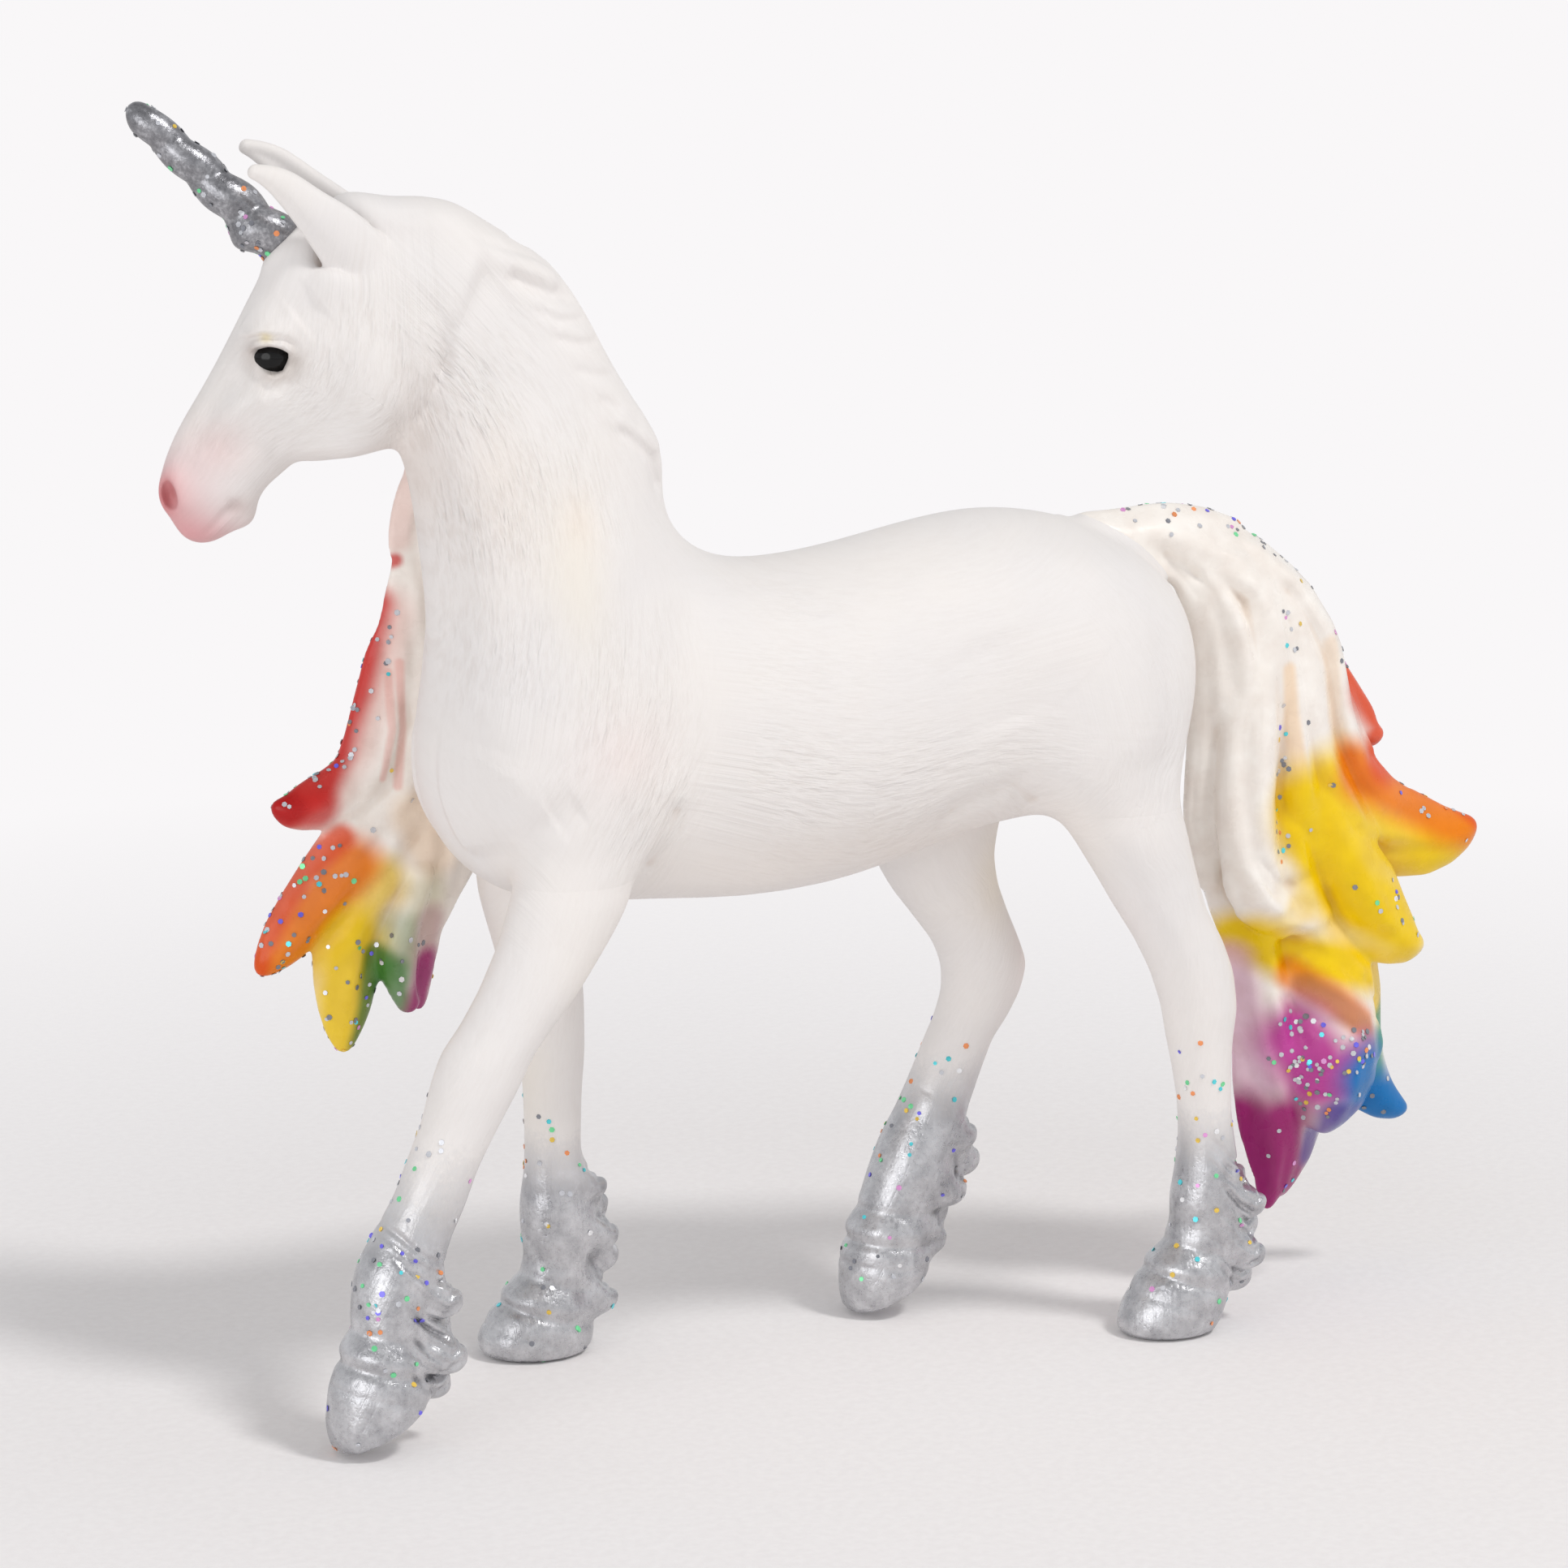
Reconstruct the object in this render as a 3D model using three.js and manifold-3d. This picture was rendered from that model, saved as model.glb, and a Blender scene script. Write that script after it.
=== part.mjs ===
// A moulded unicorn figurine with a rainbow mane and tail, in millimetres, +Z up.
// The unicorn walks towards -X; its left side, the one seen in the photograph, is -Y.
// The soles stand on z = 0. Lengths are real sizes of the figurine.

import * as THREE from 'three';
import { mergeVertices } from 'three/addons/utils/BufferGeometryUtils.js';
import Module from 'manifold-3d';

const wasm = await Module();
wasm.setup();

// Driving sizes.

const glueGap = 0.3;            // clearance between two glued pieces, all round
const legPegRadius = 2.6;       // the round peg on top of each leg
const legPegLength = 6;
const frontLegTop = 56;         // height of the flat joint at the elbow
const rearLegTop = 58;          // height of the flat joint at the stifle
const tailPegRadius = 2;
const tailPegLength = 12;
const headPegRadius = 2.6;
const headPegLength = 5;
const hornPegRadius = 1.2;
const hornPegLength = 3;
const earPegRadius = 0.9;
const earPegLength = 2.5;
const manePegRadius = 1.4;
const manePegLength = 3;
const eyeRadius = 1.7;
const headTurn = THREE.MathUtils.degToRad(-24);   // the head looks to the unicorn's right
const poll = [-38, 3, 111.4];     // where the head's midline crosses the neck's

// Materials.

const material = (name, color, roughness, metalness) => {
  const m = new THREE.MeshStandardMaterial({ color, roughness, metalness });
  m.name = name;
  return m;
};
const whiteCoat = material('white_coat', 0xf3efec, 0.5, 0);
const silverPaint = material('silver_paint', 0x7d8087, 0.35, 0.8);
const blackGloss = material('black_gloss', 0x08080a, 0.15, 0);
const maneWhite = material('mane_white', 0xf1ede6, 0.45, 0);
const maneRainbow = material('mane_rainbow', 0xe8553a, 0.4, 0);
const tailRainbow = material('tail_rainbow', 0xf2c32a, 0.4, 0);

// Solids.

function toSolid(geometry) {
  const plain = geometry.clone();
  plain.deleteAttribute('normal');
  plain.deleteAttribute('uv');
  const merged = mergeVertices(plain, 1e-4);
  return new wasm.Manifold(new wasm.Mesh({
    numProp: 3,
    vertProperties: new Float32Array(merged.attributes.position.array),
    triVerts: new Uint32Array(merged.index.array),
  }));
}

function toGeometry(solid) {
  const mesh = solid.getMesh();
  const geometry = new THREE.BufferGeometry();
  geometry.setAttribute('position', new THREE.BufferAttribute(mesh.vertProperties, 3));
  geometry.setIndex(new THREE.BufferAttribute(mesh.triVerts, 1));
  geometry.computeVertexNormals();
  return geometry;
}

const join = (first, ...rest) => rest.reduce((whole, solid) => whole.add(solid), first);
const cut = (first, ...rest) => rest.reduce((whole, solid) => whole.subtract(solid), first);

// Catmull-Rom value between rows k and k + 1 of a list of number rows.
function between(rows, k, t) {
  const last = rows.length - 1;
  const a = rows[Math.max(k - 1, 0)];
  const b = rows[k];
  const c = rows[k + 1];
  const d = rows[Math.min(k + 2, last)];
  return b.map((_, i) => 0.5 * (
    2 * b[i]
    + (c[i] - a[i]) * t
    + (2 * a[i] - 5 * b[i] + 4 * c[i] - d[i]) * t * t
    + (3 * b[i] - a[i] - 3 * c[i] + d[i]) * t * t * t
  ));
}

function smoothRows(rows, steps) {
  const out = [];
  for (let k = 0; k < rows.length - 1; k += 1) {
    for (let s = 0; s < steps; s += 1) out.push(between(rows, k, s / steps));
  }
  out.push(rows[rows.length - 1]);
  return out;
}

// Rings of points become one closed skin with a flat cap at each end.
function skin(rings) {
  const around = rings[0].length;
  const points = rings.flat();
  const faces = [];
  for (let r = 0; r < rings.length - 1; r += 1) {
    for (let i = 0; i < around; i += 1) {
      const j = (i + 1) % around;
      const a = r * around + i;
      const b = r * around + j;
      faces.push([a, b, b + around], [a, b + around, a + around]);
    }
  }
  for (const [start, flip] of [[0, true], [(rings.length - 1) * around, false]]) {
    const middle = new THREE.Vector3();
    for (let i = 0; i < around; i += 1) middle.addScaledVector(points[start + i], 1 / around);
    points.push(middle);
    const hub = points.length - 1;
    for (let i = 0; i < around; i += 1) {
      const j = (i + 1) % around;
      faces.push(flip ? [hub, start + j, start + i] : [hub, start + i, start + j]);
    }
  }
  let volume = 0;
  for (const [a, b, c] of faces) {
    volume += points[a].dot(new THREE.Vector3().crossVectors(points[b], points[c]));
  }
  if (volume < 0) faces.forEach((face) => face.reverse());
  const geometry = new THREE.BufferGeometry();
  const flat = points.flatMap((p) => [p.x, p.y, p.z]);
  geometry.setAttribute('position', new THREE.Float32BufferAttribute(flat, 3));
  geometry.setIndex(faces.flat());
  return toSolid(geometry);
}

// A limb or trunk between two outlines seen from the side. Each station is
// [front x, front z, back x, back z, half width, centre y]. 'grow' swells it evenly.
function limb(stations, around = 16, steps = 2, grow = 0) {
  const rings = smoothRows(stations, steps).map(([fx, fz, bx, bz, half, y]) => {
    const front = new THREE.Vector3(fx, y, fz);
    const back = new THREE.Vector3(bx, y, bz);
    const middle = front.clone().lerp(back, 0.5);
    const reach = front.clone().sub(back).multiplyScalar(0.5);
    reach.setLength(reach.length() + grow);
    const ring = [];
    for (let i = 0; i < around; i += 1) {
      const angle = (2 * Math.PI * (i + 0.5)) / around;
      const p = middle.clone().addScaledVector(reach, Math.cos(angle));
      p.y += (half + grow) * Math.sin(angle);
      ring.push(p);
    }
    return ring;
  });
  return skin(rings);
}

// A flattened lock of hair. Each row is [x, y, z, half breadth, half thickness]; 'flat' is
// the direction the lock is thin in, and 'ribs' the strands that show along it.
function lock(rows, ribs = 0, flat = [0, 1, 0], around = 12, steps = 2, grow = 0) {
  const path = smoothRows(rows, steps);
  const at = path.map(([x, y, z]) => new THREE.Vector3(x, y, z));
  const rings = path.map(([, , , broad, thin], i) => {
    const along = at[Math.min(i + 1, at.length - 1)].clone().sub(at[Math.max(i - 1, 0)]).normalize();
    const side = new THREE.Vector3().crossVectors(along, new THREE.Vector3(...flat)).normalize();
    const up = new THREE.Vector3().crossVectors(side, along).normalize();
    const ring = [];
    for (let s = 0; s < around; s += 1) {
      const angle = (2 * Math.PI * s) / around;
      const swell = 1 + (ribs ? 0.12 * Math.cos(ribs * angle) : 0);
      ring.push(at[i].clone()
        .addScaledVector(side, (broad * swell + grow) * Math.cos(angle))
        .addScaledVector(up, (thin * swell + grow) * Math.sin(angle)));
    }
    return ring;
  });
  return skin(rings);
}

// A round pin from one point towards another.
function pin(from, to, radius, length, grow = 0) {
  const start = new THREE.Vector3(...from);
  const along = new THREE.Vector3(...to).sub(start).normalize();
  const geometry = new THREE.CylinderGeometry(radius + grow, radius + grow, length + grow, 12);
  geometry.translate(0, (length + grow) / 2, 0);
  geometry.applyQuaternion(new THREE.Quaternion().setFromUnitVectors(new THREE.Vector3(0, 1, 0), along));
  geometry.translate(start.x, start.y, start.z);
  return toSolid(geometry);
}

function ball(centre, radius, stretch = [1, 1, 1], turns = 20) {
  const geometry = new THREE.SphereGeometry(radius, turns, Math.round(turns * 0.6));
  geometry.scale(...stretch);
  geometry.translate(...centre);
  return toSolid(geometry);
}

// Everything on the far side of a plane: a large block whose near face is that plane.
function halfSpace(point, outward) {
  const blockSize = 300;
  const geometry = new THREE.BoxGeometry(blockSize, blockSize, blockSize);
  geometry.translate(0, 0, blockSize / 2);
  const turn = new THREE.Quaternion().setFromUnitVectors(
    new THREE.Vector3(0, 0, 1),
    new THREE.Vector3(...outward).normalize(),
  );
  geometry.applyQuaternion(turn);
  geometry.translate(...point);
  return toSolid(geometry);
}

// Places a shape built in the head's own frame (nose towards -X) on the turned head.
function onHead(solid) {
  return solid
    .rotate([0, 0, THREE.MathUtils.radToDeg(headTurn)])
    .translate(poll);
}

// Body.

// Trunk and neck in one sweep: topline points first, underline points second.
const trunkStations = [
  [44.2, 76.4, 44.2, 66.4, 6, 0],
  [42.6, 81.4, 42.8, 61.4, 10.5, 0],
  [38, 85.4, 38, 58, 13.5, 0],
  [30.5, 87.9, 30, 56.4, 14.8, 0],
  [22.5, 89, 20, 55, 15, 0],
  [14, 87.9, 10.5, 52.3, 15, 0],
  [5, 86.1, 3, 50.8, 15.4, 0],
  [-4, 85.4, -6, 50.3, 15.4, 0],
  [-9.5, 86.7, -15, 50.8, 14.6, 0],
  [-13.5, 89.4, -24, 51.4, 13.6, 0],
  [-15.8, 92.9, -32, 53, 12.8, 0],
  [-17.3, 96.4, -37.8, 58, 11.8, 0],
  [-19, 99.4, -40.3, 65.4, 10.6, 0],
  [-20.7, 102.4, -39.2, 72.9, 9.4, 0],
  [-22.3, 105.4, -38.6, 79.4, 8.4, 0.2],
  [-24, 108.4, -39.2, 86.4, 7.5, 0.7],
  [-26, 111.4, -40, 92.9, 6.7, 1.3],
  [-28.8, 114.9, -40.5, 98.4, 6.1, 2],
  [-33, 118.2, -41, 103.4, 5.6, 2.6],
  [-38, 119.8, -42, 107.4, 5, 3],
];

// Each limb in one sweep from the shoulder or the haunch down to the sole. The body keeps
// what lies above the flat joint, and the leg piece is what lies below it.
const foreLeft = [
  [-29, 85.4, -16, 86.4, 2.5, -7],
  [-33, 79.4, -15.5, 80.4, 4.6, -7.6],
  [-36.2, 71.9, -16, 71.4, 6, -8.6],
  [-36.2, 64.4, -18, 62.4, 6.4, -9.6],
  [-34, 59.4, -20, 57.9, 5.7, -10.3],
  [-34.3, 55.4, -20.8, 54.4, 5.5, -10.4],
  [-35.9, 50, -24.1, 50, 5, -10.9],
  [-38.2, 45.5, -27.8, 45, 4.6, -11.4],
  [-40.3, 42.1, -30.8, 41.6, 4.5, -11.5],
  [-42.4, 39.6, -32.8, 39.1, 4.5, -11.7],
  [-43.5, 36.7, -34.5, 35.7, 4.4, -11.7],
  [-44.6, 32.7, -36.6, 32.2, 4, -11.7],
  [-46.2, 29.3, -38.7, 28.3, 3.6, -11.8],
  [-47.7, 25.8, -40.3, 24.3, 3.5, -11.9],
  [-49.8, 22.3, -41.8, 21.3, 3.7, -11.9],
  [-51.7, 19.4, -42.9, 17.9, 4.3, -12],
  [-52.4, 16.4, -44, 14.4, 4.3, -12.2],
  [-52.7, 13.2, -44.7, 11.4, 3.9, -12.4],
  [-53.7, 10.6, -44.3, 9.2, 4.5, -12.5],
  [-55.1, 7, -44, 7.6, 4.9, -12.5],
  [-55.5, 3, -44.2, 5.8, 5.1, -12.5],
  [-54.7, -0.3, -45.1, 4.6, 4.9, -12.5],
];
const foreRight = [
  [-29, 85.4, -14, 86.4, 2.5, 7],
  [-32.5, 79.4, -13.5, 80.4, 4.6, 7.6],
  [-34.5, 71.9, -14, 71.4, 6, 8.6],
  [-33.5, 64.4, -16.5, 62.4, 6.4, 9.6],
  [-31, 59.4, -19.6, 58.4, 5.5, 10.2],
  [-30.6, 55.4, -19.6, 54.9, 5.4, 10.3],
  [-29.8, 50.4, -19.2, 49.4, 5, 10.6],
  [-28.1, 44.9, -18.7, 43.9, 4.6, 10.8],
  [-26.5, 38.9, -18.2, 38.4, 4.3, 10.9],
  [-25.4, 33.8, -18.1, 32.8, 3.9, 11],
  [-24.8, 29.3, -18.4, 28.3, 3.5, 11.1],
  [-24.6, 23.8, -18.5, 23.3, 3.3, 11.2],
  [-24.7, 19.8, -18.4, 19.3, 3.4, 11.2],
  [-25.2, 16.3, -17.9, 15.7, 3.9, 11.3],
  [-25.1, 13.2, -17.5, 12.6, 4, 11.3],
  [-24.6, 10.1, -17.8, 9.4, 3.7, 11.4],
  [-26.2, 7.5, -17.8, 7.1, 4.2, 11.5],
  [-28.2, 5.1, -17.1, 4.7, 4.9, 11.6],
  [-30.2, 1.9, -16.9, 2.1, 5.3, 11.7],
  [-29.6, 0, -17.4, 0, 5.2, 11.7],
];
const hindLeft = [
  [20, 85.4, 38, 83.4, 5, -6],
  [16.5, 78.4, 42, 76.9, 6.8, -7.6],
  [17.5, 70.9, 42.5, 69.4, 7.4, -8.4],
  [21, 62.9, 42, 62.4, 6.8, -9.2],
  [24, 60.4, 41.8, 59.9, 6, -9.7],
  [26, 57.4, 41.6, 56.4, 5.9, -9.8],
  [28.8, 54.2, 42, 53.4, 5.4, -10],
  [31.2, 50.9, 42.9, 49.9, 4.9, -9.9],
  [33.4, 47.4, 43.9, 46.4, 4.5, -9.9],
  [35.9, 43.6, 45.9, 43, 4.3, -9.9],
  [37.9, 39.9, 47.3, 39.4, 4.3, -9.8],
  [39.3, 36, 47.8, 35.4, 4.1, -9.8],
  [40, 32.4, 47.4, 31.8, 3.7, -9.7],
  [40.8, 28.9, 47.3, 28.4, 3.4, -9.7],
  [41.5, 25.1, 47.4, 24.6, 3.2, -9.6],
  [41.8, 21.6, 48, 21, 3.3, -9.4],
  [41.6, 18.1, 48.6, 17.5, 3.8, -9.3],
  [41, 14.7, 49.2, 13.9, 4.1, -9.2],
  [41.2, 11.7, 49.2, 10.9, 4, -9],
  [40, 9.2, 48.6, 8.5, 4.2, -8.9],
  [37.8, 7, 48.4, 6, 4.8, -8.8],
  [35.4, 2.8, 47.6, 2.8, 5.1, -8.8],
  [34.8, 0, 46.4, 0, 5, -8.8],
];
const hindRight = [
  [20, 85.4, 38, 83.4, 5, 6],
  [15.5, 78.4, 42.4, 76.9, 6.8, 7.6],
  [13.5, 70.9, 41.5, 69.4, 7.4, 8.4],
  [13, 63.4, 36, 62.4, 6.8, 9],
  [12.8, 60.4, 33, 59.9, 6.2, 9.2],
  [13.2, 57.4, 31, 57, 5.9, 9.3],
  [13.8, 52.9, 29.3, 53.4, 5.5, 9.5],
  [15.1, 49.5, 28.7, 49.8, 5.1, 9.7],
  [17.2, 46.3, 29.3, 46.5, 4.7, 10],
  [19.9, 43, 30.7, 43.1, 4.4, 10.3],
  [22.3, 40, 32.1, 40.1, 4.3, 10.6],
  [23.4, 37.2, 33.2, 37.2, 4.3, 10.7],
  [23.5, 34.5, 32.5, 34.3, 4.1, 10.8],
  [22.6, 31.7, 31, 31.5, 3.8, 10.8],
  [21.5, 29.6, 29.3, 29.2, 3.5, 10.8],
  [19.9, 26.2, 27.9, 25.8, 3.4, 10.7],
  [18, 22.2, 26.2, 21.6, 3.7, 10.6],
  [16.1, 19.1, 25.1, 17.9, 4.2, 10.5],
  [14.6, 15.7, 24, 14.5, 4.3, 10.3],
  [13.5, 12.8, 22.5, 11.6, 4, 10.1],
  [12.3, 10, 21.7, 8.6, 4.4, 10.1],
  [11.2, 6.4, 21.7, 6.4, 4.9, 10.1],
  [11.2, 2.6, 21.5, 5, 5, 10.1],
  [11.8, -0.3, 20.7, 3.9, 4.8, 10.1],
];

// The head is glued on at a slanted plane through the throat and behind the ears.
const headCutPoint = [-1.6, 0, -13];
const headCutNormal = [-1, 0, 0.42];
const cutDirection = new THREE.Vector3(...headCutNormal)
  .normalize()
  .applyAxisAngle(new THREE.Vector3(0, 0, 1), headTurn);
const cutPoint = new THREE.Vector3(...headCutPoint)
  .applyAxisAngle(new THREE.Vector3(0, 0, 1), headTurn)
  .add(new THREE.Vector3(...poll));
const headSide = (shift) => halfSpace(
  cutPoint.clone().addScaledVector(cutDirection, shift).toArray(),
  cutDirection.toArray(),
);
const headPegStart = [-35.5, 2.6, 108.9];
const headPegEnd = new THREE.Vector3(...headPegStart).sub(cutDirection).toArray();
const headPeg = (grow) => pin(
  new THREE.Vector3(...headPegStart).addScaledVector(cutDirection, 4).toArray(),
  headPegEnd,
  headPegRadius,
  headPegLength + 4,
  grow,
);

// The joint of each leg: the limb it belongs to and the middle of its flat top.
const legs = {
  leg_front_left: { stations: foreLeft, seat: [-27.5, -10.4, frontLegTop] },
  leg_front_right: { stations: foreRight, seat: [-25, 10.3, frontLegTop] },
  leg_rear_left: { stations: hindLeft, seat: [34, -9.8, rearLegTop] },
  leg_rear_right: { stations: hindRight, seat: [22, 9.3, rearLegTop] },
};
const above = (height) => halfSpace([0, 0, height], [0, 0, 1]);
const below = (height) => halfSpace([0, 0, height], [0, 0, -1]);
const legPeg = (seat, grow) => pin(
  [seat[0], seat[1], seat[2] - 2],
  [seat[0], seat[1], seat[2] + 1],
  legPegRadius,
  legPegLength + 2,
  grow,
);

const tailRoot = [47, 0, 83];
const tailInward = [35, 0, 81];
const tailPeg = (grow) => pin(tailRoot, tailInward, tailPegRadius, tailPegLength, grow);

const crestPegs = [
  [[-20, 1.3, 105.4], [-26, 0.8, 100.4]],
  [[-14.5, 0, 92.9], [-21, 0, 87.4]],
];
const fallPegs = [
  [[-30, 8.6, 95.4], [-30, 0, 95.4]],
  [[-29, 13.2, 74.4], [-29, 0, 74.4]],
];

function torsoSolid() {
  const roots = Object.values(legs).map(({ stations, seat }) => cut(
    limb(stations, 12, 1),
    below(seat[2]),
  ));
  return join(limb(trunkStations, 16, 2), ...roots);
}

function bodySolid() {
  const legRooms = Object.values(legs).map(({ stations, seat }) => cut(
    limb(stations, 12, 1, glueGap),
    above(seat[2]),
  ));
  const sockets = Object.values(legs).map(({ seat }) => legPeg(seat, glueGap));
  const crestSockets = crestPegs.map(([a, b]) => pin(a, b, manePegRadius, manePegLength, glueGap));
  const fallSockets = fallPegs.map(([a, b]) => pin(a, b, manePegRadius, manePegLength, glueGap));
  return cut(
    torsoSolid(),
    ...legRooms,
    ...sockets,
    headSide(-glueGap),
    headPeg(glueGap),
    tailPeg(glueGap),
    ...crestSockets,
    ...fallSockets,
  );
}

// Legs.

// A short tuft hangs down behind the fetlock and flicks out at its tip: [x, y, z, radius].
const tuft = ([x, y, z, radius]) => lock([
  [x - 3.4, y, z + 3, radius * 0.8, radius * 0.8],
  [x - 1.8, y, z + 1.3, radius, radius],
  [x - 0.4, y, z, radius * 0.9, radius * 0.9],
  [x + 0.7, y, z + 0.4, radius * 0.4, radius * 0.4],
], 0, [0, 1, 0], 6, 1);

const fetlockCurls = {
  leg_front_left: [
    [-43.2, -11.5, 17.2, 1.5],
    [-42.2, -13.6, 14.4, 1.8],
    [-42.4, -11.6, 11.2, 1.7],
    [-41.8, -13.4, 8.8, 1.9],
    [-42.8, -12, 5.4, 1.5],
  ],
  leg_front_right: [
    [-16.8, 10.4, 17.4, 1.4],
    [-15.8, 12.4, 14.6, 1.7],
    [-15.6, 10.6, 12, 1.6],
    [-14.8, 12.6, 9.4, 1.9],
    [-15.6, 11.2, 5, 1.6],
  ],
  leg_rear_left: [
    [49.4, -8, 16.2, 1.4],
    [50.8, -10, 13, 1.6],
    [51, -8, 10.4, 1.7],
    [50.6, -10, 7.6, 1.7],
    [50, -8.6, 4.6, 1.5],
  ],
  leg_rear_right: [
    [25.6, 9, 18.6, 1.5],
    [26.8, 11, 15.4, 2],
    [24, 9, 12.6, 1.7],
    [23.2, 11, 10, 1.6],
    [22.2, 9.6, 7.2, 1.4],
  ],
};

function legSolid(name) {
  const { stations, seat } = legs[name];
  const shaft = cut(limb(stations, 12, 1), above(seat[2] - glueGap));
  const whole = join(shaft, ...fetlockCurls[name].map(tuft), legPeg(seat, 0));
  return cut(whole, below(0));
}

// Head.

// In the head's own frame: origin at the poll, nose towards -X, near side -Y.
const skullStations = [
  [6, 8.8, 10, -2, 4.6, 0],
  [-1, 9.4, 5, -8, 5.6, 0],
  [-5.5, 10, 1.2, -10.5, 6.1, 0],
  [-9.8, 9.8, -1.6, -12, 6.4, 0],
  [-13.6, 7.8, -4.6, -13.3, 6.4, 0],
  [-16.2, 4.2, -7.6, -14, 6.2, 0],
  [-18.4, 0, -10.2, -14.6, 5.7, 0],
  [-20.6, -4.2, -12.6, -15.6, 4.9, 0],
  [-22.8, -8, -15, -17.3, 4.3, 0],
  [-25, -11.4, -16, -19.4, 4.1, 0],
  [-26.3, -14.2, -17.4, -21.4, 4.1, 0],
  [-26.6, -17, -19.6, -22.4, 3.8, 0],
  [-26, -19.3, -22, -22.7, 3, 0],
  [-25, -20.8, -23.4, -22.2, 1.6, 0],
];
const jowlStations = [
  [-8.5, 5.5, -0.5, 2, 4.6, 0],
  [-10.5, 1.5, 0.4, -1.5, 6.4, 0],
  [-11, -2.5, 0.8, -5.5, 6.9, 0],
  [-11, -6.5, -0.2, -9, 6.6, 0],
  [-10.6, -11, -3.6, -11.9, 5.4, 0],
  [-10, -13.4, -6.6, -13.4, 3, 0],
];
const eyePlace = [-14.6, -5.1, -3.4];
const nostrilPlace = [-25.8, -2.9, -17];
const hornFoot = [-14, 0, 7.4];
const hornTip = [-28.63, 0, 21.09];
const hornFootRadius = 2.5;
const hornTipRadius = 1.5;
const hornTurns = 3.97; // of the groove
const hornGrooveTop = 0.167; // where along the horn the groove first lies on top
const hornRelief = 0.28;
const hornKnob = 0.6;
const earFoot = [-6.4, 3.3, 5.4];
const earTips = { [-1]: [-15.8, 4.3, 15.1], 1: [-17.4, 4.3, 16.7] };
const earBow = 0.6;
const earHollowOut = 1.5;
const earHollowDown = 0.5;

const chinPlace = [-19.2, 0, -20.2];
const lipPlace = [-23.4, 0, -20.8];
const lipRadius = 3;

const mirrored = ([x, y, z]) => [x, -y, z];
const eyeBall = (place, radius) => ball(place, radius, [1, 1, 0.78], 12);
const hornPeg = (grow) => pin(
  [hornFoot[0] - 1, 0, hornFoot[2] + 1],
  [hornFoot[0] + 1, 0, hornFoot[2] - 1],
  hornPegRadius,
  hornPegLength + 1.4,
  grow,
);
const earPeg = (side, grow) => pin(
  [-8.6, 3.9 * side, 8],
  [-5, 2.6 * side, 3.6],
  earPegRadius,
  earPegLength + 2,
  grow,
);

function headFrameSolid() {
  const brow = [eyePlace, mirrored(eyePlace)].map(([x, y, z]) => ball(
    [x + 0.4, y * 0.9, z + 1.7], 2.4, [1.25, 0.75, 0.8], 8,
  ));
  const underlid = [eyePlace, mirrored(eyePlace)].map(([x, y, z]) => ball(
    [x, y * 0.9, z - 1.9], 2, [1.3, 0.7, 0.6], 8,
  ));
  const nostrilRim = [nostrilPlace, mirrored(nostrilPlace)].map(([x, y, z]) => ball(
    [x + 0.8, y * 0.85, z], 2.2, [0.85, 0.9, 1.2], 8,
  ));
  const chin = ball(chinPlace, lipRadius, [0.95, 0.9, 0.75], 10);
  const lip = ball(lipPlace, lipRadius, [0.95, 1.05, 0.7], 10);
  const hornCollar = ball([hornFoot[0] + 0.8, 0, hornFoot[2] - 0.8], 3, [1, 0.95, 0.95], 12);
  return join(
    limb(skullStations, 14, 2),
    limb(jowlStations, 12, 2),
    ...brow,
    ...underlid,
    ...nostrilRim,
    chin,
    lip,
    hornCollar,
  );
}

const hornAxis = new THREE.Vector3(...hornTip).sub(new THREE.Vector3(...hornFoot)).normalize();

// Horn with one groove winding round it to the blunt tip, and a knob in front at its foot.
function hornShape(grow, sink = 0) {
  const levels = 40;
  const around = 12;
  const length = new THREE.Vector3(...hornTip).distanceTo(new THREE.Vector3(...hornFoot));
  const side = new THREE.Vector3(0, 1, 0);
  const front = new THREE.Vector3().crossVectors(side, hornAxis).normalize();
  const rings = [];
  for (let k = 0; k <= levels; k += 1) {
    const t = k / levels;
    const blunt = Math.sqrt(Math.max(1 - Math.max(0, (t - 0.88) / 0.12) ** 2, 0.05));
    const radius = (hornFootRadius * (1 - t) + hornTipRadius * t) * blunt;
    const knob = hornKnob * Math.exp(-(((t - 0.15) / 0.07) ** 2));
    const groove = -2 * Math.PI * hornTurns * (t - hornGrooveTop);
    const ring = [];
    for (let i = 0; i < around; i += 1) {
      const angle = (2 * Math.PI * i) / around;
      const wave = 1 + hornRelief * (Math.abs(Math.sin((angle - groove) / 2)) - 0.6);
      const reach = radius * wave + knob * (1 - Math.cos(angle)) * 0.5 + grow;
      ring.push(new THREE.Vector3(...hornFoot)
        .addScaledVector(hornAxis, t * length - (k === 0 ? sink : 0))
        .addScaledVector(front, reach * Math.cos(angle))
        .addScaledVector(side, reach * Math.sin(angle)));
    }
    rings.push(ring);
  }
  return skin(rings);
}

// A point of the ear: 'along' runs from 0 at the foot to 1 at the tip.
function earPoint(side, along, outward = 0, down = 0) {
  const tip = earTips[side];
  const [x, y, z] = earFoot.map((value, i) => value + (tip[i] - value) * along);
  return [x, side * (y + earBow * Math.sin(Math.PI * along) + outward), z - down];
}

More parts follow.
